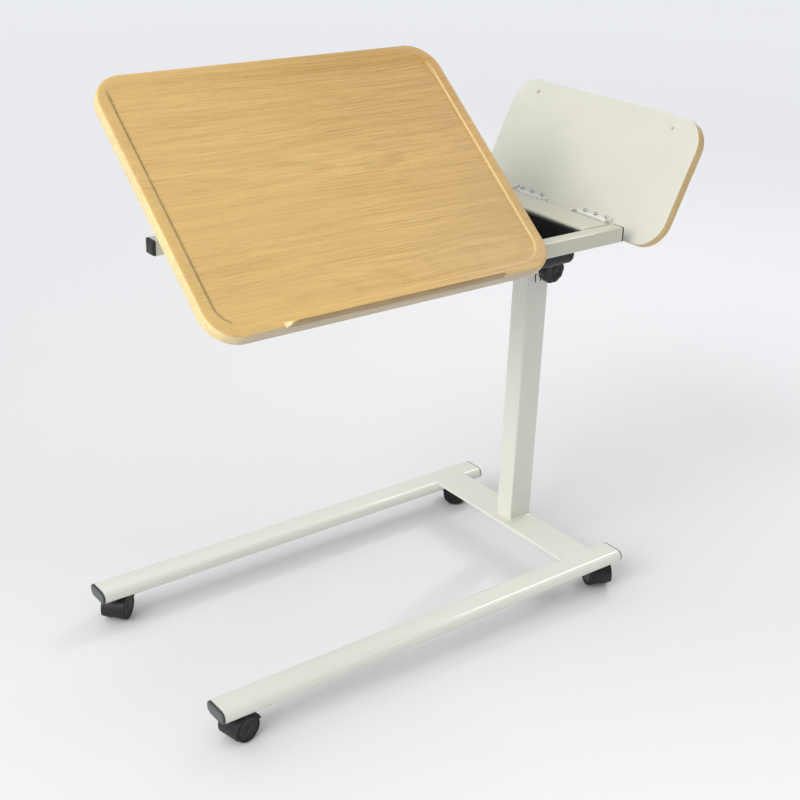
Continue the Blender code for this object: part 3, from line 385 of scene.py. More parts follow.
def studio_floor():
    """Matt floor with a painted pool of light towards the near left, cooler far away."""
    g = Graph("studio_floor")
    cloud = g.noise(g.coords, 0.35, 3.0)
    tone = g.mix(cloud, FLOOR_COLOUR, shade(FLOOR_COLOUR, 0.985))
    away = g.node("ShaderNodeVectorMath", Vector=g.coords)
    away.operation = "LENGTH"
    tone = g.mix(g.ramp(away.outputs["Value"], 1.2, 6.0), tone, FLOOR_FAR)
    # painted pool of light
    toward_light_pool = g.maths("ADD", g.axis_part(g.coords, "X"), g.axis_part(g.coords, "Y"))
    tone = g.mix(g.ramp(toward_light_pool, 0.1, -1.5), tone, FLOOR_LIGHT_POOL)
    normal = g.bump(g.noise(g.coords, 60.0, 2.0), 0.02, 0.001)
    return g.finish(tone, 0.62, normal, specular=0.15)


PAINTED = painted_steel("powder_coat", PAINT)
# painted shade: darker copy of the powder coat for the upper frame
PAINTED_FRAME_SHADE = painted_steel("powder_coat_frame_shade", FRAME_PAINT_SHADE)
# main top, with painted light, painted sheen and painted shade across it
OAK = wood("oak_laminate", OAK_LIGHT, OAK_MID, OAK_DARK, light_gradient=True)
# edge band of oak print, paled as a painted highlight, with painted shade on its front
OAK_BAND_HIGHLIGHT_SHADE = wood("oak_edge_band_highlight_shade", EDGE_HIGHLIGHT, EDGE_HIGHLIGHT, EDGE_DARK, 0.25, front_shade=FRONT_SHADE_TINT)
# painted shade: darker oak for the book stop's front
OAK_STOP_SHADE = wood("oak_stop_front_shade", STOP_SHADE_LIGHT, STOP_SHADE_LIGHT, STOP_SHADE_DARK, 0.45)
OAK_SIDE = wood("oak_side_band", *SIDE_TONES, 0.15)
# painted shade and painted light for the two sides of the recess
OAK_GROOVE_SHADE = wood("oak_groove_shade", *GROOVE_SHADE_TONES, 0.1)
OAK_COVE_LIGHT = wood("oak_cove_light", *COVE_LIGHT_TONES, 0.2)
WHITE = white_laminate()
PLASTIC = moulded("black_plastic", BLACK, BLACK_WORN)
TRAY_PLASTIC = moulded("black_tray_plastic", TRAY_BLACK, TRAY_WORN, 1300.0, 0.50, 0.35)
PLUG_PLASTIC = moulded("grey_plug_plastic", PLUG_GREY, PLUG_WORN, 1500.0, 0.40, 0.6)
PLUG_RIM = moulded("plug_rim_plastic", PLUG_DARK, PLUG_GREY, 1500.0, 0.42, 0.4)
BUSH_PLASTIC = moulded("bush_plastic", BUSH_GREY, BUSH_WORN)
BUMPER = moulded("bumper_rubber", BUMPER_GREY, BUMPER_WORN, 1500.0, 0.5, 0.3)
RUBBER = tyre_rubber()
METAL = bright_metal()


# ---------------------------------------------------------------- mesh helpers

def extent(node, place=IDENTITY):
    """Lowest and highest corner of a CAD node in the axes of a placement matrix."""
    back = place.inverted()
    points = [back @ vertex.co for vertex in NODES[node].data.vertices]
    low = Vector([min(point[i] for point in points) for i in range(3)])
    high = Vector([max(point[i] for point in points) for i in range(3)])
    return low, high


def arc(cx, cy, radius, start, end, steps):
    """Points round a circle, between two angles in degrees."""
    points = []
    for i in range(steps + 1):
        angle = math.radians(start + (end - start) * i / steps)
        points.append((cx + radius * math.cos(angle), cy + radius * math.sin(angle)))
    return points


def rounded(x0, y0, x1, y1, radius, steps=8, far_left=None):
    """Outline of a rectangle with round corners; far_left is that corner's radius if it differs."""
    r = max(radius, 0.00005)
    tight = far_left or r
    return (
        arc(x1 - r, y0 + r, r, -90, 0, steps)
        + arc(x1 - r, y1 - r, r, 0, 90, steps)
        + arc(x0 + tight, y1 - tight, tight, 90, 180, steps)
        + arc(x0 + r, y0 + r, r, 180, 270, steps)
    )


def oval(width, height):
    """Outline with straight top and bottom and half-round ends."""
    radius = height / 2
    straight = width / 2 - radius
    return arc(straight, 0, radius, -90, 90, 20) + arc(-straight, 0, radius, 90, 270, 20)


def ring(outline, height):
    return [Vector((x, y, height)) for x, y in outline]


def loft(name, rings, mat, looped=False, degrees=40):
    """Skin between rings of equal point count, its ends capped or joined into a loop."""
    bm = bmesh.new()
    rows = [[bm.verts.new(point) for point in points] for points in rings]
    pairs = list(zip(rows, rows[1:]))
    if looped:
        pairs.append((rows[-1], rows[0]))
    count = len(rows[0])
    for lower, upper in pairs:
        for i in range(count):
            j = (i + 1) % count
            bm.faces.new((lower[i], lower[j], upper[j], upper[i]))
    if not looped:
        bm.faces.new(list(reversed(rows[0])))
        bm.faces.new(rows[-1])
    bmesh.ops.recalc_face_normals(bm, faces=bm.faces)
    return piece_from(name, bm, mat, degrees)


def piece_from(name, bm, mat, degrees=40):
    """Smooth-shaded object from a bmesh, sharp where faces meet at more than some degrees."""
    mesh = bpy.data.meshes.new(name)
    bm.to_mesh(mesh)
    bm.free()
    mesh.materials.append(mat)
    mesh.shade_smooth()
    mesh.set_sharp_from_angle(angle=math.radians(degrees))
    obj = bpy.data.objects.new(name, mesh)
    bpy.context.scene.collection.objects.link(obj)
    return obj


def lathe(name, profile, mat, steps, wobble=None, degrees=40):
    """Turned solid about local Z from (radius, height) points. wobble(angle, radius) scales a radius."""
    bm = bmesh.new()
    rows = []
    for radius, height in profile:
        if radius == 0:
            rows.append([bm.verts.new((0, 0, height))])
            continue
        row = []
        for i in range(steps):
            angle = 2 * math.pi * i / steps
            r = radius * (wobble(angle, radius) if wobble else 1.0)
            row.append(bm.verts.new((r * math.cos(angle), r * math.sin(angle), height)))
        rows.append(row)
    for lower, upper in zip(rows, rows[1:]):
        for i in range(steps):
            j = (i + 1) % steps
            corners = [row[k % len(row)] for row, k in ((lower, i), (lower, j), (upper, j), (upper, i))]
            bm.faces.new(list(dict.fromkeys(corners)))
    bmesh.ops.recalc_face_normals(bm, faces=bm.faces)
    return piece_from(name, bm, mat, degrees)


def settle(obj, place, body, slot, *stands_for):
    """Put a finished piece in place on its body, standing for CAD nodes if any."""
    obj.matrix_world = place
    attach(obj, body)
    if stands_for:
        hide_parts(*stands_for)


def joint_place(name, limit):
    """Axes at a hinge, turned so that a board lying flat at one limit of its range lies flat in them."""
    joint = JOINTS[name]
    angle = -math.radians(joint["range_deg"][limit])
    return Matrix.Translation(joint["pos_m"]) @ Matrix.Rotation(angle, 4, Vector(joint["axis"]))


def paint_faces(obj, mat, test):
    """Give the faces that pass a test another material."""
    obj.data.materials.append(mat)
    index = len(obj.data.materials) - 1
    for face in obj.data.polygons:
        if test(face):
            face.material_index = index


TILTED = joint_place("main_top_tilt", 0)
FLIPPED = joint_place("small_top_flip", 1)


# ---------------------------------------------------------------- boards

def edge_profile(thickness):
    """(inset, height) of a board's edge, from its underside round to its top."""
    points = [(FACE_INSET, 0.0), (BOTTOM_ROUND + 0.001, 0.0)]
    for inset, height in arc(0, 0, 1, 0, 90, 6):
        points.append((BOTTOM_ROUND * (1 - height), BOTTOM_ROUND * (1 - inset)))
    for inset, height in arc(0, 0, 1, 0, 90, 8):
        points.append((TOP_ROUND * (1 - inset), thickness - TOP_ROUND * (1 - height)))
    points.append((TOP_ROUND + 0.001, thickness))
    return points


def board_ring(low, high, inset, radius, height, far=0.0, far_left=None):
    """A board's outline drawn in by an inset, and by some more along the far side."""
    shape = rounded(
        low.x + inset, low.y + inset, high.x - inset, high.y - inset - far, radius, 16, far_left
    )
    return ring(shape, low.z + height)


def recess_rings(low, high):
    """From the rim, over its lip and down the cove to the recessed panel."""
    top = high.z - low.z
    sizes = [(-0.0020, 0.0, 0.0), (-0.0006, 0.00012, 0.0)]
    sizes += [(run * COVE, fall * RIM_DEPTH, run * FAR_COVE) for run, fall in COVE_SLOPE]
    sizes.append((COVE + GROOVE, RIM_DEPTH, FAR_COVE))
    return [
        board_ring(low, high, RIM_WIDTH + grow, RIM_CORNER - grow, top - drop, far, FAR_LEFT_CORNER)
        for grow, drop, far in sizes
    ]


def board(name, node, place, corner, recessed):
    """Board with a round edge, laid flat in its own axes: the main top if recessed, else the small top."""
    low, high = extent(node, place)
    thickness = high.z - low.z
    profile = edge_profile(thickness)
    rings = [
        board_ring(low, high, inset, max(corner - inset, SHARPEST_CORNER), height)
        for inset, height in profile
    ]
    if recessed:
        rings += recess_rings(low, high)
    else:
        rings.append(board_ring(low, high, FACE_INSET, FACE_CORNER, thickness))
    obj = loft(name, rings, OAK)
    around = len(rings[0])
    side_rows = range(2, len(profile) - FACE_ROWS)
    front_rows = range(2, len(profile) - 2)

    def on_side(face):
        return face.index // around in side_rows

    def on_front(face):
        straight = abs(face.normal.x) < 0.01 and face.normal.y < -0.3
        return straight and face.index // around in front_rows

    def underneath(face):
        return face.normal.z < -0.5 and face.center.z < low.z + BOTTOM_ROUND

    if recessed:
        # edge band with its painted highlight and its painted shade at the front
        paint_faces(obj, OAK_BAND_HIGHLIGHT_SHADE, lambda face: on_side(face) or on_front(face))
        paint_faces(obj, WHITE, underneath)
        paint_cove_shade_and_light(obj, low, high, around, range(len(profile) + 1, len(rings) - 1))
    else:
        paint_faces(obj, OAK_SIDE, on_side)
        paint_faces(obj, WHITE, lambda face: underneath(face) or (on_side(face) and face.normal.x < -0.85))
    return obj


def paint_cove_shade_and_light(obj, low, high, around, rows):
    """Painted shade as a dark line down the left of the recess, painted light as a light line down its right."""
    middle = (low.x + high.x) / 2
    half = (high.x - low.x) / 2
    near_y = low.y + RIM_WIDTH + 0.005
    far_y = high.y - RIM_WIDTH - FAR_LEFT_CORNER

    def beside(face, side):
        at_corner = face.center.y < low.y + RIM_WIDTH + RIM_CORNER
        reach = RIM_CORNER if at_corner else RIM_WIDTH + COVE + GROOVE + 0.001
        return side * (face.center.x - middle) > half - reach and near_y < face.center.y < far_y

    # painted shade
    def dark(face):
        return face.index // around in rows[1:] and beside(face, -1)

    # painted light
    def light(face):
        return face.index // around in rows and beside(face, 1) and face.normal.x < -0.15

    paint_faces(obj, OAK_GROOVE_SHADE, dark)
    paint_faces(obj, OAK_COVE_LIGHT, light)


def stop_stations(low, high):
    """(x, share of full height) along the book stop: it rises in a quarter wave at each end."""
    rise = [math.sin(math.pi / 2 * i / STOP_END_STEPS) ** 0.8 for i in range(STOP_END_STEPS + 1)]
    reach = [STOP_END * i / STOP_END_STEPS for i in range(STOP_END_STEPS + 1)]
    stations = [(low + x, share) for x, share in zip(reach, rise)]
    stations += [(low + (high - low) * i / 10, 1.0) for i in range(1, 10)]
    stations += [(high - x, share) for x, share in zip(reversed(reach), reversed(rise))]
    return stations


def book_stop():
    """Strip with rounded ends that rise out of the top, a soft nose and a hollow at its back."""
    low, high = extent("book_stop", TILTED)
    depth = high.y - low.y
    rings = []
    for x, share in stop_stations(low.x, high.x):
        top = max((high.z - low.z) * share, 0.0006)
        r = min(STOP_ROUND, top * 0.45)
        profile = [(0.0, 0.0)]
        profile += arc(r, top - r, r, 180, 90, 5)
        profile += arc(depth * 0.62 - r, top - r, r, 90, 20, 5)
        profile += [(depth * 0.72, top * 0.42), (depth * 0.82, top * 0.18), (depth, 0.0)]
        rings.append([Vector((x, low.y + y, low.z + z)) for y, z in profile])
    obj = loft("book_stop_strip", rings, OAK, degrees=55)
    left = low.x + 0.5 * STOP_END
    right = high.x - 0.5 * STOP_END
    # painted shade on the stop's front; its left end in the paler edge band as a painted highlight
    paint_faces(obj, OAK_STOP_SHADE, lambda face: face.normal.y < -0.45 and face.center.x < right)
    paint_faces(obj, OAK_BAND_HIGHLIGHT_SHADE, lambda face: face.center.x < left)
    settle(obj, TILTED, "main_top", "oak_edge", "book_stop")


def boards():
    main = board("main_top_panel", "main_top_board", TILTED, MAIN_CORNER, True)
    settle(main, TILTED, "main_top", "oak_laminate", "main_top_board")
    small = board("small_top_panel", "small_top_board", FLIPPED, SMALL_CORNER, False)
    settle(small, FLIPPED, "small_top", "oak_laminate", "small_top_board")
    book_stop()


# ---------------------------------------------------------------- stand

# A tube's own frame: its outline in local X and Y, its length along local Z.
ALONG_X = Matrix(((0, 0, 1, 0), (1, 0, 0, 0), (0, 1, 0, 0), (0, 0, 0, 1)))
ALONG_Y = Matrix(((1, 0, 0, 0), (0, 0, 1, 0), (0, -1, 0, 0), (0, 0, 0, 1)))


def hollow(name, outer, inner, length, mat=PAINTED):
    """Tube from an outer and an inner outline, its cut ends slightly broken."""
    rings = [ring(outer, CUT_EDGE), ring(outer, length - CUT_EDGE), ring(inner, length), ring(inner, 0.0)]
    return loft(name, rings, mat, looped=True)


def foot(prefix):
    node = f"{prefix}_foot_tube"
    low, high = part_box(node)
    width = high.y - low.y
    height = high.z - low.z
    obj = hollow(
        f"{prefix}_foot", oval(width, height), oval(width - 2 * WALL, height - 2 * WALL), high.x - low.x
    )
    place = Matrix.Translation((low.x, (low.y + high.y) / 2, (low.z + high.z) / 2)) @ ALONG_X
    settle(obj, place, "base", "frame_paint", node)


def rect_tube(name, node, axis, corner):
    """A rail, cross tube or mast of the upper frame, from its CAD box and the axis it runs along; rails and cross
    tubes take the paint in painted shade.
    """
    low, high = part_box(node)
    size = high - low
    start = (low + high) / 2
    if axis == "X":
        a, b, length, turn = size.y, size.z, size.x, ALONG_X
        start.x = low.x
    elif axis == "Y":
        a, b, length, turn = size.x, size.z, size.y, ALONG_Y
        start.y = low.y
    else:
        a, b, length, turn = size.x, size.y, size.z, IDENTITY
        start.z = low.z
    outer = rounded(-a / 2, -b / 2, a / 2, b / 2, corner)
    inner = rounded(WALL - a / 2, WALL - b / 2, a / 2 - WALL, b / 2 - WALL, corner - WALL)
    obj = hollow(name, outer, inner, length, PAINTED_FRAME_SHADE if node in SHADED_FRAME_NODES else PAINTED)
    settle(obj, Matrix.Translation(start) @ turn, "upper_frame", "frame_paint", node)


def end_plug(node, side, shape, body, slot, finishes, thick, spigot, proud=0.0):
    """Plug seen end on: flange with a soft rim, a groove, and a raised panel in the middle.

    shape(inset) is its outline, finishes are those of flange and panel, and proud is how far the panel
    may stand out of the flange inside the CAD node's box.
    """
    profile = [
        (PLUG_FIT, -spigot), (PLUG_FIT, 0.0), (0.0, 0.0), (0.0, thick * 0.45), (0.0003, thick * 0.75),
        (0.0009, thick), (0.0024, thick),
    ]
    panel_profile = [
        (0.0030, thick * 0.6), (0.0030, thick + 0.0002), (0.0034, thick + 0.0006), (0.0046, thick + 0.0008),
        (0.0060, thick + 0.0008),
    ]
    rings = [ring(shape(inset), height) for inset, height in profile]
    flange = loft(f"{node}_flange", rings, finishes[0], degrees=50)
    rings = [ring(shape(inset), height) for inset, height in panel_profile]
    panel = loft(f"{node}_panel", rings, finishes[1], degrees=60)
    low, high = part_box(node)
    base = (low + high) / 2
    base.x = (low.x if side < 0 else high.x) - side * (proud + thick)
    place = Matrix.Translation(base) @ ALONG_X @ Matrix.Diagonal((1, 1, side, 1))
    for obj in (flange, panel):
        obj.data.transform(place)
        if side < 0:
            obj.data.flip_normals()
    settle(flange, IDENTITY, body, slot, node)
    settle(panel, IDENTITY, body, slot)


def foot_plugs():
    for prefix in ("near", "far"):
        for where, side in (("front", -1), ("rear", 1)):
            node = f"{prefix}_{where}_foot_plug"
            low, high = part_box(node)
            width = high.y - low.y
            height = high.z - low.z

            def shape(inset):
                return oval(width - 2 * inset, height - 2 * inset)

            end_plug(node, side, shape, "base", "grey_plug", (PLUG_RIM, PLUG_PLASTIC), 0.002, 0.0155)


def rail_caps():
    for prefix in ("near", "far"):
        for where, side in (("left", -1), ("right", 1)):
            node = f"{prefix}_{where}_rail_cap"
            low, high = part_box(node)
            a = (high.y - low.y) / 2
            b = (high.z - low.z) / 2

            def shape(inset):
                return rounded(inset - a, inset - b, a - inset, b - inset, max(TUBE_CORNER - inset, 0.0008))

            end_plug(
                node, side, shape, "upper_frame", "black_plastic", (PLASTIC, PLASTIC), 0.003, 0.0135, 0.0008
            )


def plate_seams():
    """Ground weld lines where the cross plate runs out over each foot."""
    low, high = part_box("base_cross_plate")
    for prefix, y in (("near", low.y), ("far", high.y)):
        near = y - SEAM_HALF
        far = y + SEAM_HALF
        rings = []
        for inset, height in ((0.0004, 0.0), (0.0, 0.0003), (0.0014, 0.00055), (0.0024, 0.0006)):
            shape = rounded(low.x + inset, near + inset, high.x - inset, far - inset, 0.0001, 3)
            rings.append(ring(shape, high.z - 0.0004 + height))
        seam = loft(f"{prefix}_plate_seam", rings, PAINTED, degrees=85)
        settle(seam, IDENTITY, "base", "frame_paint")


def mast_weld():
    """Weld fillet where the mast stands on the cross plate."""
    mast_low, mast_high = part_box("outer_mast")
    middle = (mast_low + mast_high) / 2
    half = (mast_high - mast_low) / 2

    def outline(grow, radius):
        a = half.x + grow
        b = half.y + grow
        return rounded(-a, -b, a, b, radius, 10)

    rings = [ring(outline(grow, 0.0035 + grow), rise) for grow, rise in WELD_PROFILE]
    inner = outline(-0.001, 0.003)
    rings += [ring(inner, WELD_PROFILE[-1][1]), ring(inner, 0.0)]
    weld = loft("mast_weld", rings, PAINTED, looped=True, degrees=80)
    plate_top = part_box("base_cross_plate")[1].z
    settle(weld, Matrix.Translation((middle.x, middle.y, plate_top + 0.0001)), "base", "frame_paint")


# ---------------------------------------------------------------- castors

def castor_place(name):
    """Axes at a castor's axle: local X away from the stem, local Z along the axle."""
    swivel = Vector(JOINTS[f"{name}_castor_swivel"]["pos_m"])
    axle = Vector(JOINTS[f"{name}_left_wheel_spin"]["pos_m"])
    forward = Vector((axle.x - swivel.x, axle.y - swivel.y, 0)).normalized()
    side = Vector((-forward.y, forward.x, 0))
    up = Vector((0, 0, 1))
    rotation = Matrix((forward, up, -side)).transposed().to_4x4()
    return Matrix.Translation(axle) @ rotation


def in_fixed_order(bm):
    """The same mesh with its faces, and each face's first corner, in the fixed order a bevel lacks."""
    bm.verts.index_update()
    outlines = []
    for face in bm.faces:
        corners = [vertex.index for vertex in face.verts]
        first = corners.index(min(corners))
        outlines.append(corners[first:] + corners[:first])
    ordered = bmesh.new()
    vertices = [ordered.verts.new(vertex.co) for vertex in bm.verts]
    for corners in sorted(outlines):
        ordered.faces.new([vertices[i] for i in corners])
    bm.free()
    return ordered


def strip_solid(name, outline, half, mat, edge=0.0006, segments=3):
    """A flat outline extruded both ways with soft edges."""
    bm = bmesh.new()
    face = bm.faces.new([bm.verts.new((x, y, -half)) for x, y in outline])
    grown = bmesh.ops.extrude_face_region(bm, geom=[face])
    top = [item for item in grown["geom"] if isinstance(item, bmesh.types.BMVert)]
    bmesh.ops.translate(bm, verts=top, vec=(0, 0, 2 * half))
    bmesh.ops.recalc_face_normals(bm, faces=bm.faces)
    sharp = [e for e in bm.edges if e.is_manifold and e.calc_face_angle() > math.radians(45)]
    bmesh.ops.bevel(
        bm, geom=sharp, offset=edge, segments=segments, profile=0.5, affect="EDGES", clamp_overlap=True
    )
    return piece_from(name, in_fixed_order(bm), mat, 50)


def lift_over_wheels(collar, swivel, axle, radius):
    """Raise the collar's underside, where it reaches over the wheels, to just clear them."""
    ahead = Vector((axle.x - swivel[0], axle.y - swivel[1]))
    offset = ahead.length
    ahead.normalize()
    for vertex in collar.data.vertices:
        along = vertex.co.xy.dot(ahead) - offset
        clear = axle.z + math.sqrt(max(radius**2 - along**2, 0.0))
        vertex.co.z = max(vertex.co.z, clear)


def castor_collar(name, place, top, clear):
    """Collar the castor swivels on, flared at its foot and kept clear of the wheels below it."""
    swivel = JOINTS[f"{name}_castor_swivel"]["pos_m"]
    profile = [(reach, COLLAR_BASE) for reach in (0.0, 0.0030, 0.0060, COLLAR_FLARE)]
    profile += [
        (0.0082, 0.0400), (COLLAR_RADIUS, 0.0425), (COLLAR_RADIUS, top - 0.0004),
        (COLLAR_RADIUS - 0.0004, top), (0.0, top),
    ]
    collar = lathe(f"{name}_castor_collar", profile, PLASTIC, 36)
    lift_over_wheels(collar, swivel, place.translation, clear)
    settle(collar, Matrix.Translation((swivel[0], swivel[1], 0)), f"{name}_castor", "black_plastic")


def castor(name):
    """Hood shell, the web between its wheels, the collar it swivels on, and two wheels."""
    place = castor_place(name)
    body = f"{name}_castor"
    node = f"{name}_castor_hood"
    low, high = extent(node, place)
    radius = (high.x - low.x) / 2
    wheel_low, wheel_high = extent(f"{name}_castor_wheel_left", place)
    wheel_r = (wheel_high.y - wheel_low.y) / 2
    start, end = HOOD_ARC
    outline = arc(0, 0, radius, start, end, 44) + arc(0, 0, radius - HOOD_WALL, end, start, 44)
    shell = strip_solid(f"{name}_castor_cover", outline, (high.z - low.z) / 2, PLASTIC)
    settle(shell, place, body, "black_plastic", node)
    start, end = WEB_ARC
    outline = arc(0, 0, radius - 0.001, start, end, 36) + arc(0, 0, WEB_FOOT, end, start + 360, 30)
    half = min(abs(wheel_low.z), abs(wheel_high.z)) - WEB_GAP
    web = strip_solid(f"{name}_castor_web", outline, half, PLASTIC, 0.0004, 2)
    settle(web, place, body, "black_plastic")
    castor_collar(name, place, high.y + place.translation.z, wheel_r + WHEEL_GAP)
    for label in ("left", "right"):
        wheel(name, label, place, wheel_r)


def wheel(name, label, place, radius):
    """Dished disc with a raised hub, a groove inside the tread, and a crowned tyre."""
    node = f"{name}_castor_wheel_{label}"
    low, high = extent(node, place)
    side = 1 if high.z + low.z > 0 else -1
    inner = low.z if side > 0 else -high.z
    width = high.z - low.z
    hub = [(0.0, 0.0003), (0.0035, 0.0003), (0.0046, 0.0008), (0.0060, 0.0014)]
    dish = [(0.62, 0.0012), (0.76, 0.0006), (0.80, 0.0004), (0.82, 0.0010), (0.84, 0.0010), (0.85, 0.0002)]
    shoulder = [(0.0024, 0.0), (0.0010, 0.0006), (0.0003, 0.0018)]
    disc = [(reach, width - drop) for reach, drop in hub]
    disc += [(radius * share, width - drop) for share, drop in dish]
    disc += [(radius - inset, width - drop) for inset, drop in shoulder]
    disc += [
        (radius, width * 0.55), (radius - 0.0002, width * 0.16), (radius - 0.0009, 0.0003),
        (radius - 0.003, 0.0), (radius - 0.003, width - 0.0035), (0.006, width - 0.0035),
        (0.006, 0.0004), (0.0032, 0.0004), (0.0, 0.0004),
    ]
    obj = lathe(f"{node}_turned", disc, RUBBER, 64, degrees=30)
    turn = IDENTITY if side > 0 else Matrix.Rotation(math.pi, 4, "X")
    settle(
        obj, place @ turn @ Matrix.Translation((0, 0, inner)), f"{name}_wheel_{label}", "black_tyre", node
    )
    paint_faces(
        obj, PLASTIC, lambda face: face.center.xy.length < radius * 0.80 and face.center.z > width * 0.7
    )


# ---------------------------------------------------------------- clamp knob

def knob():
    """Hand knob: domed face, soft finger lobes, hub towards the mast."""
    low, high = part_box("clamp_knob")
    centre = (low + high) / 2
    radius = (high.x - low.x) / 2
    depth = high.y - low.y
    face_x = radius - KNOB_FACE_ROUND
    back_x = radius - KNOB_BACK_ROUND
    back_y = KNOB_BACK_ROUND - KNOB_BODY
    profile = [(0.0, 0.0), (0.0060, 0.0), (0.0066, -0.0005), (0.0074, -0.0005), (0.0080, 0.0)]
    profile.append((radius * 0.70, -0.0002))
    profile += arc(face_x, -KNOB_FACE_ROUND, KNOB_FACE_ROUND, 80, 0, 7)
    profile.append((radius, back_y))
    profile += arc(back_x, back_y, KNOB_BACK_ROUND, -15, -90, 5)
    profile += [(0.0125, -KNOB_BODY), (0.0112, -KNOB_BODY - 0.0012)]
    profile += [(0.0106, -depth + 0.0006), (0.0100, -depth), (0.0, -depth)]

    def lobes(angle, r):
        reach = min(max((r - radius * 0.66) / (radius * 0.30), 0.0), 1.0)
        return 1.0 - LOBE_DEPTH * reach * (0.5 - 0.5 * math.cos(KNOB_LOBES * angle)) ** 1.6

    obj = lathe("clamp_knob_grip", profile, PLASTIC, 120, lobes, 50)
    place = Matrix.Translation((centre.x, low.y, centre.z)) @ Matrix.Rotation(math.radians(90), 4, "X")
    settle(obj, place, "clamp_knob", "black_plastic", "clamp_knob")


# ---------------------------------------------------------------- tray

def tray():
    """Moulded tray: rolled lip, radiused walls and floor."""
    low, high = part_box("storage_tray")
    x0, y0, z0 = low
    x1, y1, z1 = high
    deep = [v.co for v in NODES["storage_tray"].data.vertices if v.co.z < (z0 + z1) / 2]
    box_x0 = x0 + TRAY_INSET
    box_x1 = max(point.x for point in deep)
    box_y = max(point.y for point in deep)
    inner_corner = TRAY_CORNER - WALL
    rings = []

    def lip(inset, height):
        rings.append(ring(rounded(x0 + inset, y0 + inset, x1 - inset, y1 - inset, 0.003), height))

    def body(inset, height, radius):
        shape = rounded(box_x0 + inset, -box_y + inset, box_x1 - inset, box_y - inset, radius)
        rings.append(ring(shape, height))

    body(TRAY_CORNER + 0.004, z0, 0.004)
    for angle in range(0, 91, 15):
        inset = TRAY_CORNER * (1 - math.sin(math.radians(angle)))
        height = z0 + TRAY_CORNER * (1 - math.cos(math.radians(angle)))
        body(inset, height, max(TRAY_CORNER - inset, 0.004))
    body(0.0, z1 - 0.002, TRAY_CORNER)
    for inset, drop in ((0.0004, 0.002), (0.0, 0.0014), (0.0001, 0.0004), (0.0006, 0.0)):
        lip(inset, z1 - drop)
    body(WALL - 0.0008, z1, TRAY_CORNER)
    body(WALL - 0.0002, z1 - 0.0003, inner_corner)
    body(WALL, z1 - 0.0012, inner_corner)
    for angle in range(90, -1, -15):
        inset = inner_corner * (1 - math.sin(math.radians(angle)))
        height = z0 + WALL + inner_corner * (1 - math.cos(math.radians(angle)))
        body(WALL + inset, height, max(inner_corner - inset, 0.003))
    body(TRAY_CORNER + 0.006, z0 + WALL, 0.004)
    obj = loft("tray_shell", rings, TRAY_PLASTIC, degrees=50)
    settle(obj, IDENTITY, "upper_frame", "black_tray", "storage_tray")


# ---------------------------------------------------------------- fasteners

def screw(name, place, body, radius):
    """Pan-head screw with a hexagon socket."""
    profile = [
        (0.0, 0.0006), (radius * 0.38, 0.0006), (radius * 0.40, 0.0013), (radius * 0.46, 0.0014),
        (radius * 0.78, 0.0012), (radius * 0.95, 0.0007), (radius, 0.0002), (radius, 0.0), (0.0, 0.0),
    ]

    def hexagon(angle, r):
        if r > radius * 0.42:
            return 1.0
        part = math.fmod(angle, math.pi / 3) - math.pi / 6
        return math.cos(math.pi / 6) / math.cos(part)

    obj = lathe(name, profile, METAL, 36, hexagon, 50)
    settle(obj, place, body, "bright_steel")


def hinge_screws():
    """Screws that fix the hinge leaves and the stay bracket under the two tops."""
    down = Matrix.Rotation(math.pi, 4, "X")
    for prefix in ("near", "far"):
        low, high = extent(f"{prefix}_lid_hinge_leaf", FLIPPED)
        under = high.z - 0.0015
        for i, share in enumerate((0.20, 0.51, 0.82)):
            y = low.y + (high.y - low.y) * (share if prefix == "far" else 1 - share)
            place = FLIPPED @ Matrix.Translation((low.x + 0.0035, y, under)) @ down
            screw(f"{prefix}_lid_hinge_screw_{i + 1}", place, "small_top", 0.0030)
    for prefix in ("left", "right"):
        low, high = extent(f"{prefix}_top_hinge_moving_leaf", TILTED)
        leaf_under = high.z - 0.0008
        for i, share in enumerate((0.2, 0.8)):
            x = low.x + (high.x - low.x) * share
            place = TILTED @ Matrix.Translation((x, high.y - 0.006, leaf_under)) @ down
            screw(f"{prefix}_top_hinge_screw_{i + 1}", place, "main_top", 0.0026)
    low, high = extent("stay_bracket", TILTED)
    for i, (x, y) in enumerate(((low.x + 0.0028, low.y + 0.004), (high.x - 0.0028, high.y - 0.004))):
        place = TILTED @ Matrix.Translation((x, y, high.z - 0.0015)) @ down
        screw(f"stay_bracket_screw_{i + 1}", place, "main_top", 0.0022)


# ---------------------------------------------------------------- CAD pieces kept as they are

KEPT_FINISH = {
    "frame_paint": PAINTED,
    "bright_steel": METAL,
    "black_plastic": PLASTIC,
    "black_tyre": RUBBER,
    "bumper_rubber": BUMPER,
    "bush_plastic": BUSH_PLASTIC,
    "grey_plug": PLUG_PLASTIC,
    "black_tray": TRAY_PLASTIC,
    "oak_laminate": OAK,
    "oak_edge": OAK,
}


def paint_slit_shade(mast):
    """Painted shade: black out the walls of the relief slits in the mast's near face."""
    low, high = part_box("outer_mast")
    centre = (low.x + high.x) / 2
    reach = 0.35 * (high.x - low.x)
    paint_faces(
        mast, PLASTIC,
        lambda face: abs(face.normal.x) > 0.9 and abs(face.center.x - centre) < reach
        and face.center.y < low.y + 1.2 * WALL,
    )


def finish_kept_nodes():
    """Give every CAD node its slot's finish, smoothed over its round faces; painted upper frame nodes other than
    the masts get the paint in painted shade, and the mast's slit walls get painted shade.
    """
    slots = {part["node"]: part["material_slot"] for part in frame["record"]["subparts"]}
    for name, obj in NODES.items():
        obj.data.materials.clear()
        in_frame_shade = slots[name] == "frame_paint" and name in SHADED_FRAME_NODES
        obj.data.materials.append(PAINTED_FRAME_SHADE if in_frame_shade else KEPT_FINISH[slots[name]])
        obj.data.shade_smooth()
        obj.data.set_sharp_from_angle(angle=math.radians(35))
    paint_slit_shade(NODES["outer_mast"])


# ---------------------------------------------------------------- stage

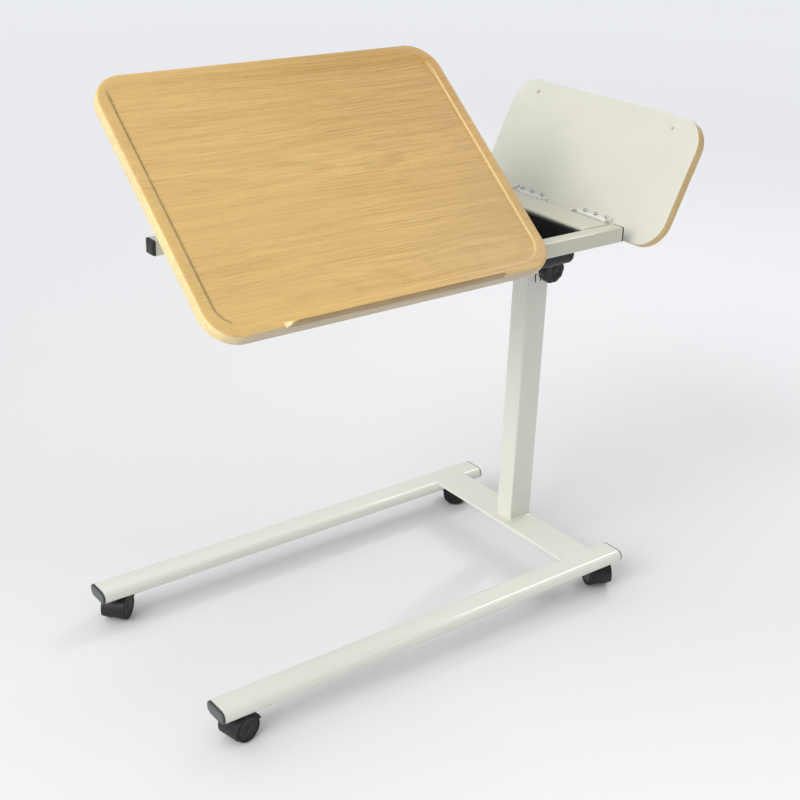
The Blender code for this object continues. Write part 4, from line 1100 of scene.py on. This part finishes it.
def floor():
    """Wide flat floor just under the wheels."""
    bm = bmesh.new()
    bmesh.ops.create_grid(bm, x_segments=4, y_segments=4, size=FLOOR_SIZE / 2)
    obj = piece_from("floor", bm, studio_floor())
    obj.location = (0, 0, -FLOOR_GAP)


def lamp(kind, name, place, target, size, power, colour, length=0.0):
    """Soft light. A sun's size is the angle it fills, an area light's its width beside its length."""
    data = bpy.data.lights.new(name, kind)
    if kind == "SUN":
        data.angle = size
    else:
        data.shape = "RECTANGLE"
        data.size = size
        data.size_y = length
    data.energy = power
    data.color = colour
    obj = bpy.data.objects.new(name, data)
    obj.location = place
    obj.rotation_euler = (Vector(target) - Vector(place)).to_track_quat("-Z", "Y").to_euler()
    bpy.context.scene.collection.objects.link(obj)


def lights():
    """Low soft key from the left, broad light from above, a long lamp that draws the highlights."""
    lamp("SUN", "key", (-3.4, -0.7, 2.20), (0, 0, 0), math.radians(36), 1.95, (1.0, 0.985, 0.955))
    lamp("SUN", "top", (-0.4, 0.5, 4.0), (0, 0, 0), math.radians(110), 0.68, (1.0, 0.995, 0.98))
    lamp("AREA", "glint", (1.75, 0.45, 1.95), (0.1, -0.1, 0.1), 0.16, 9.0, (1.0, 1.0, 1.0), 0.90)


def surroundings():
    """Pale studio glow, stronger towards one side. The camera sees only a plain backdrop."""
    world = bpy.data.worlds.new("studio")
    world.use_nodes = True
    tree = world.node_tree
    background = tree.nodes["Background"]
    coords = tree.nodes.new("ShaderNodeTexCoord")
    towards = tree.nodes.new("ShaderNodeVectorMath")
    towards.operation = "DOT_PRODUCT"
    towards.inputs[1].default_value = Vector((-0.62, 0.42, 0.66)).normalized()
    spread = tree.nodes.new("ShaderNodeMapRange")
    for key, value in (("From Min", -0.8), ("From Max", 0.9), ("To Min", 0.34), ("To Max", 0.62)):
        spread.inputs[key].default_value = value
    tree.links.new(coords.outputs["Generated"], towards.inputs[0])
    tree.links.new(towards.outputs["Value"], spread.inputs["Value"])
    tree.links.new(spread.outputs["Result"], background.inputs["Strength"])
    background.inputs["Color"].default_value = (0.965, 0.975, 1.0, 1.0)
    backdrop = tree.nodes.new("ShaderNodeBackground")
    backdrop.inputs["Color"].default_value = (*FLOOR_FAR, 1.0)
    seen = tree.nodes.new("ShaderNodeLightPath")
    chosen = tree.nodes.new("ShaderNodeMixShader")
    tree.links.new(seen.outputs["Is Camera Ray"], chosen.inputs["Fac"])
    tree.links.new(background.outputs["Background"], chosen.inputs[1])
    tree.links.new(backdrop.outputs["Background"], chosen.inputs[2])
    tree.links.new(chosen.outputs["Shader"], tree.nodes["World Output"].inputs["Surface"])
    bpy.context.scene.world = world


def camera():
    """Camera aimed by its yaw, pitch and roll."""
    data = bpy.data.cameras.new("camera")
    data.lens = CAMERA_LENS
    data.sensor_width = SENSOR
    cos_pitch = math.cos(CAMERA_PITCH)
    forward = Vector((
        math.cos(CAMERA_YAW) * cos_pitch, math.sin(CAMERA_YAW) * cos_pitch, -math.sin(CAMERA_PITCH)
    ))
    right = forward.cross(Vector((0, 0, 1))).normalized()
    up = right.cross(forward)
    rolled_right = math.cos(CAMERA_ROLL) * right + math.sin(CAMERA_ROLL) * up
    rolled_up = math.cos(CAMERA_ROLL) * up - math.sin(CAMERA_ROLL) * right
    rotation = Matrix((rolled_right, rolled_up, -forward)).transposed().to_4x4()
    obj = bpy.data.objects.new("camera", data)
    obj.matrix_world = Matrix.Translation(CAMERA_PLACE) @ rotation
    bpy.context.scene.collection.objects.link(obj)
    bpy.context.scene.camera = obj
    bpy.context.scene.view_settings.view_transform = "Standard"


# ---------------------------------------------------------------- assembly

finish_kept_nodes()
boards()
for prefix in ("near", "far"):
    foot(prefix)
    rect_tube(f"{prefix}_rail_tube", f"{prefix}_rail", "X", TUBE_CORNER)
foot_plugs()
rail_caps()
rect_tube("right_cross_bar", "right_cross_tube", "Y", TUBE_CORNER)
rect_tube("left_cross_bar", "left_cross_tube", "Y", TUBE_CORNER)
rect_tube("sliding_mast", "inner_mast", "Z", MAST_CORNER)
mast_weld()
plate_seams()
for castor_name in ("near_front", "far_front", "near_rear", "far_rear"):
    castor(castor_name)
knob()
tray()
hinge_screws()
floor()
lights()
surroundings()
camera()
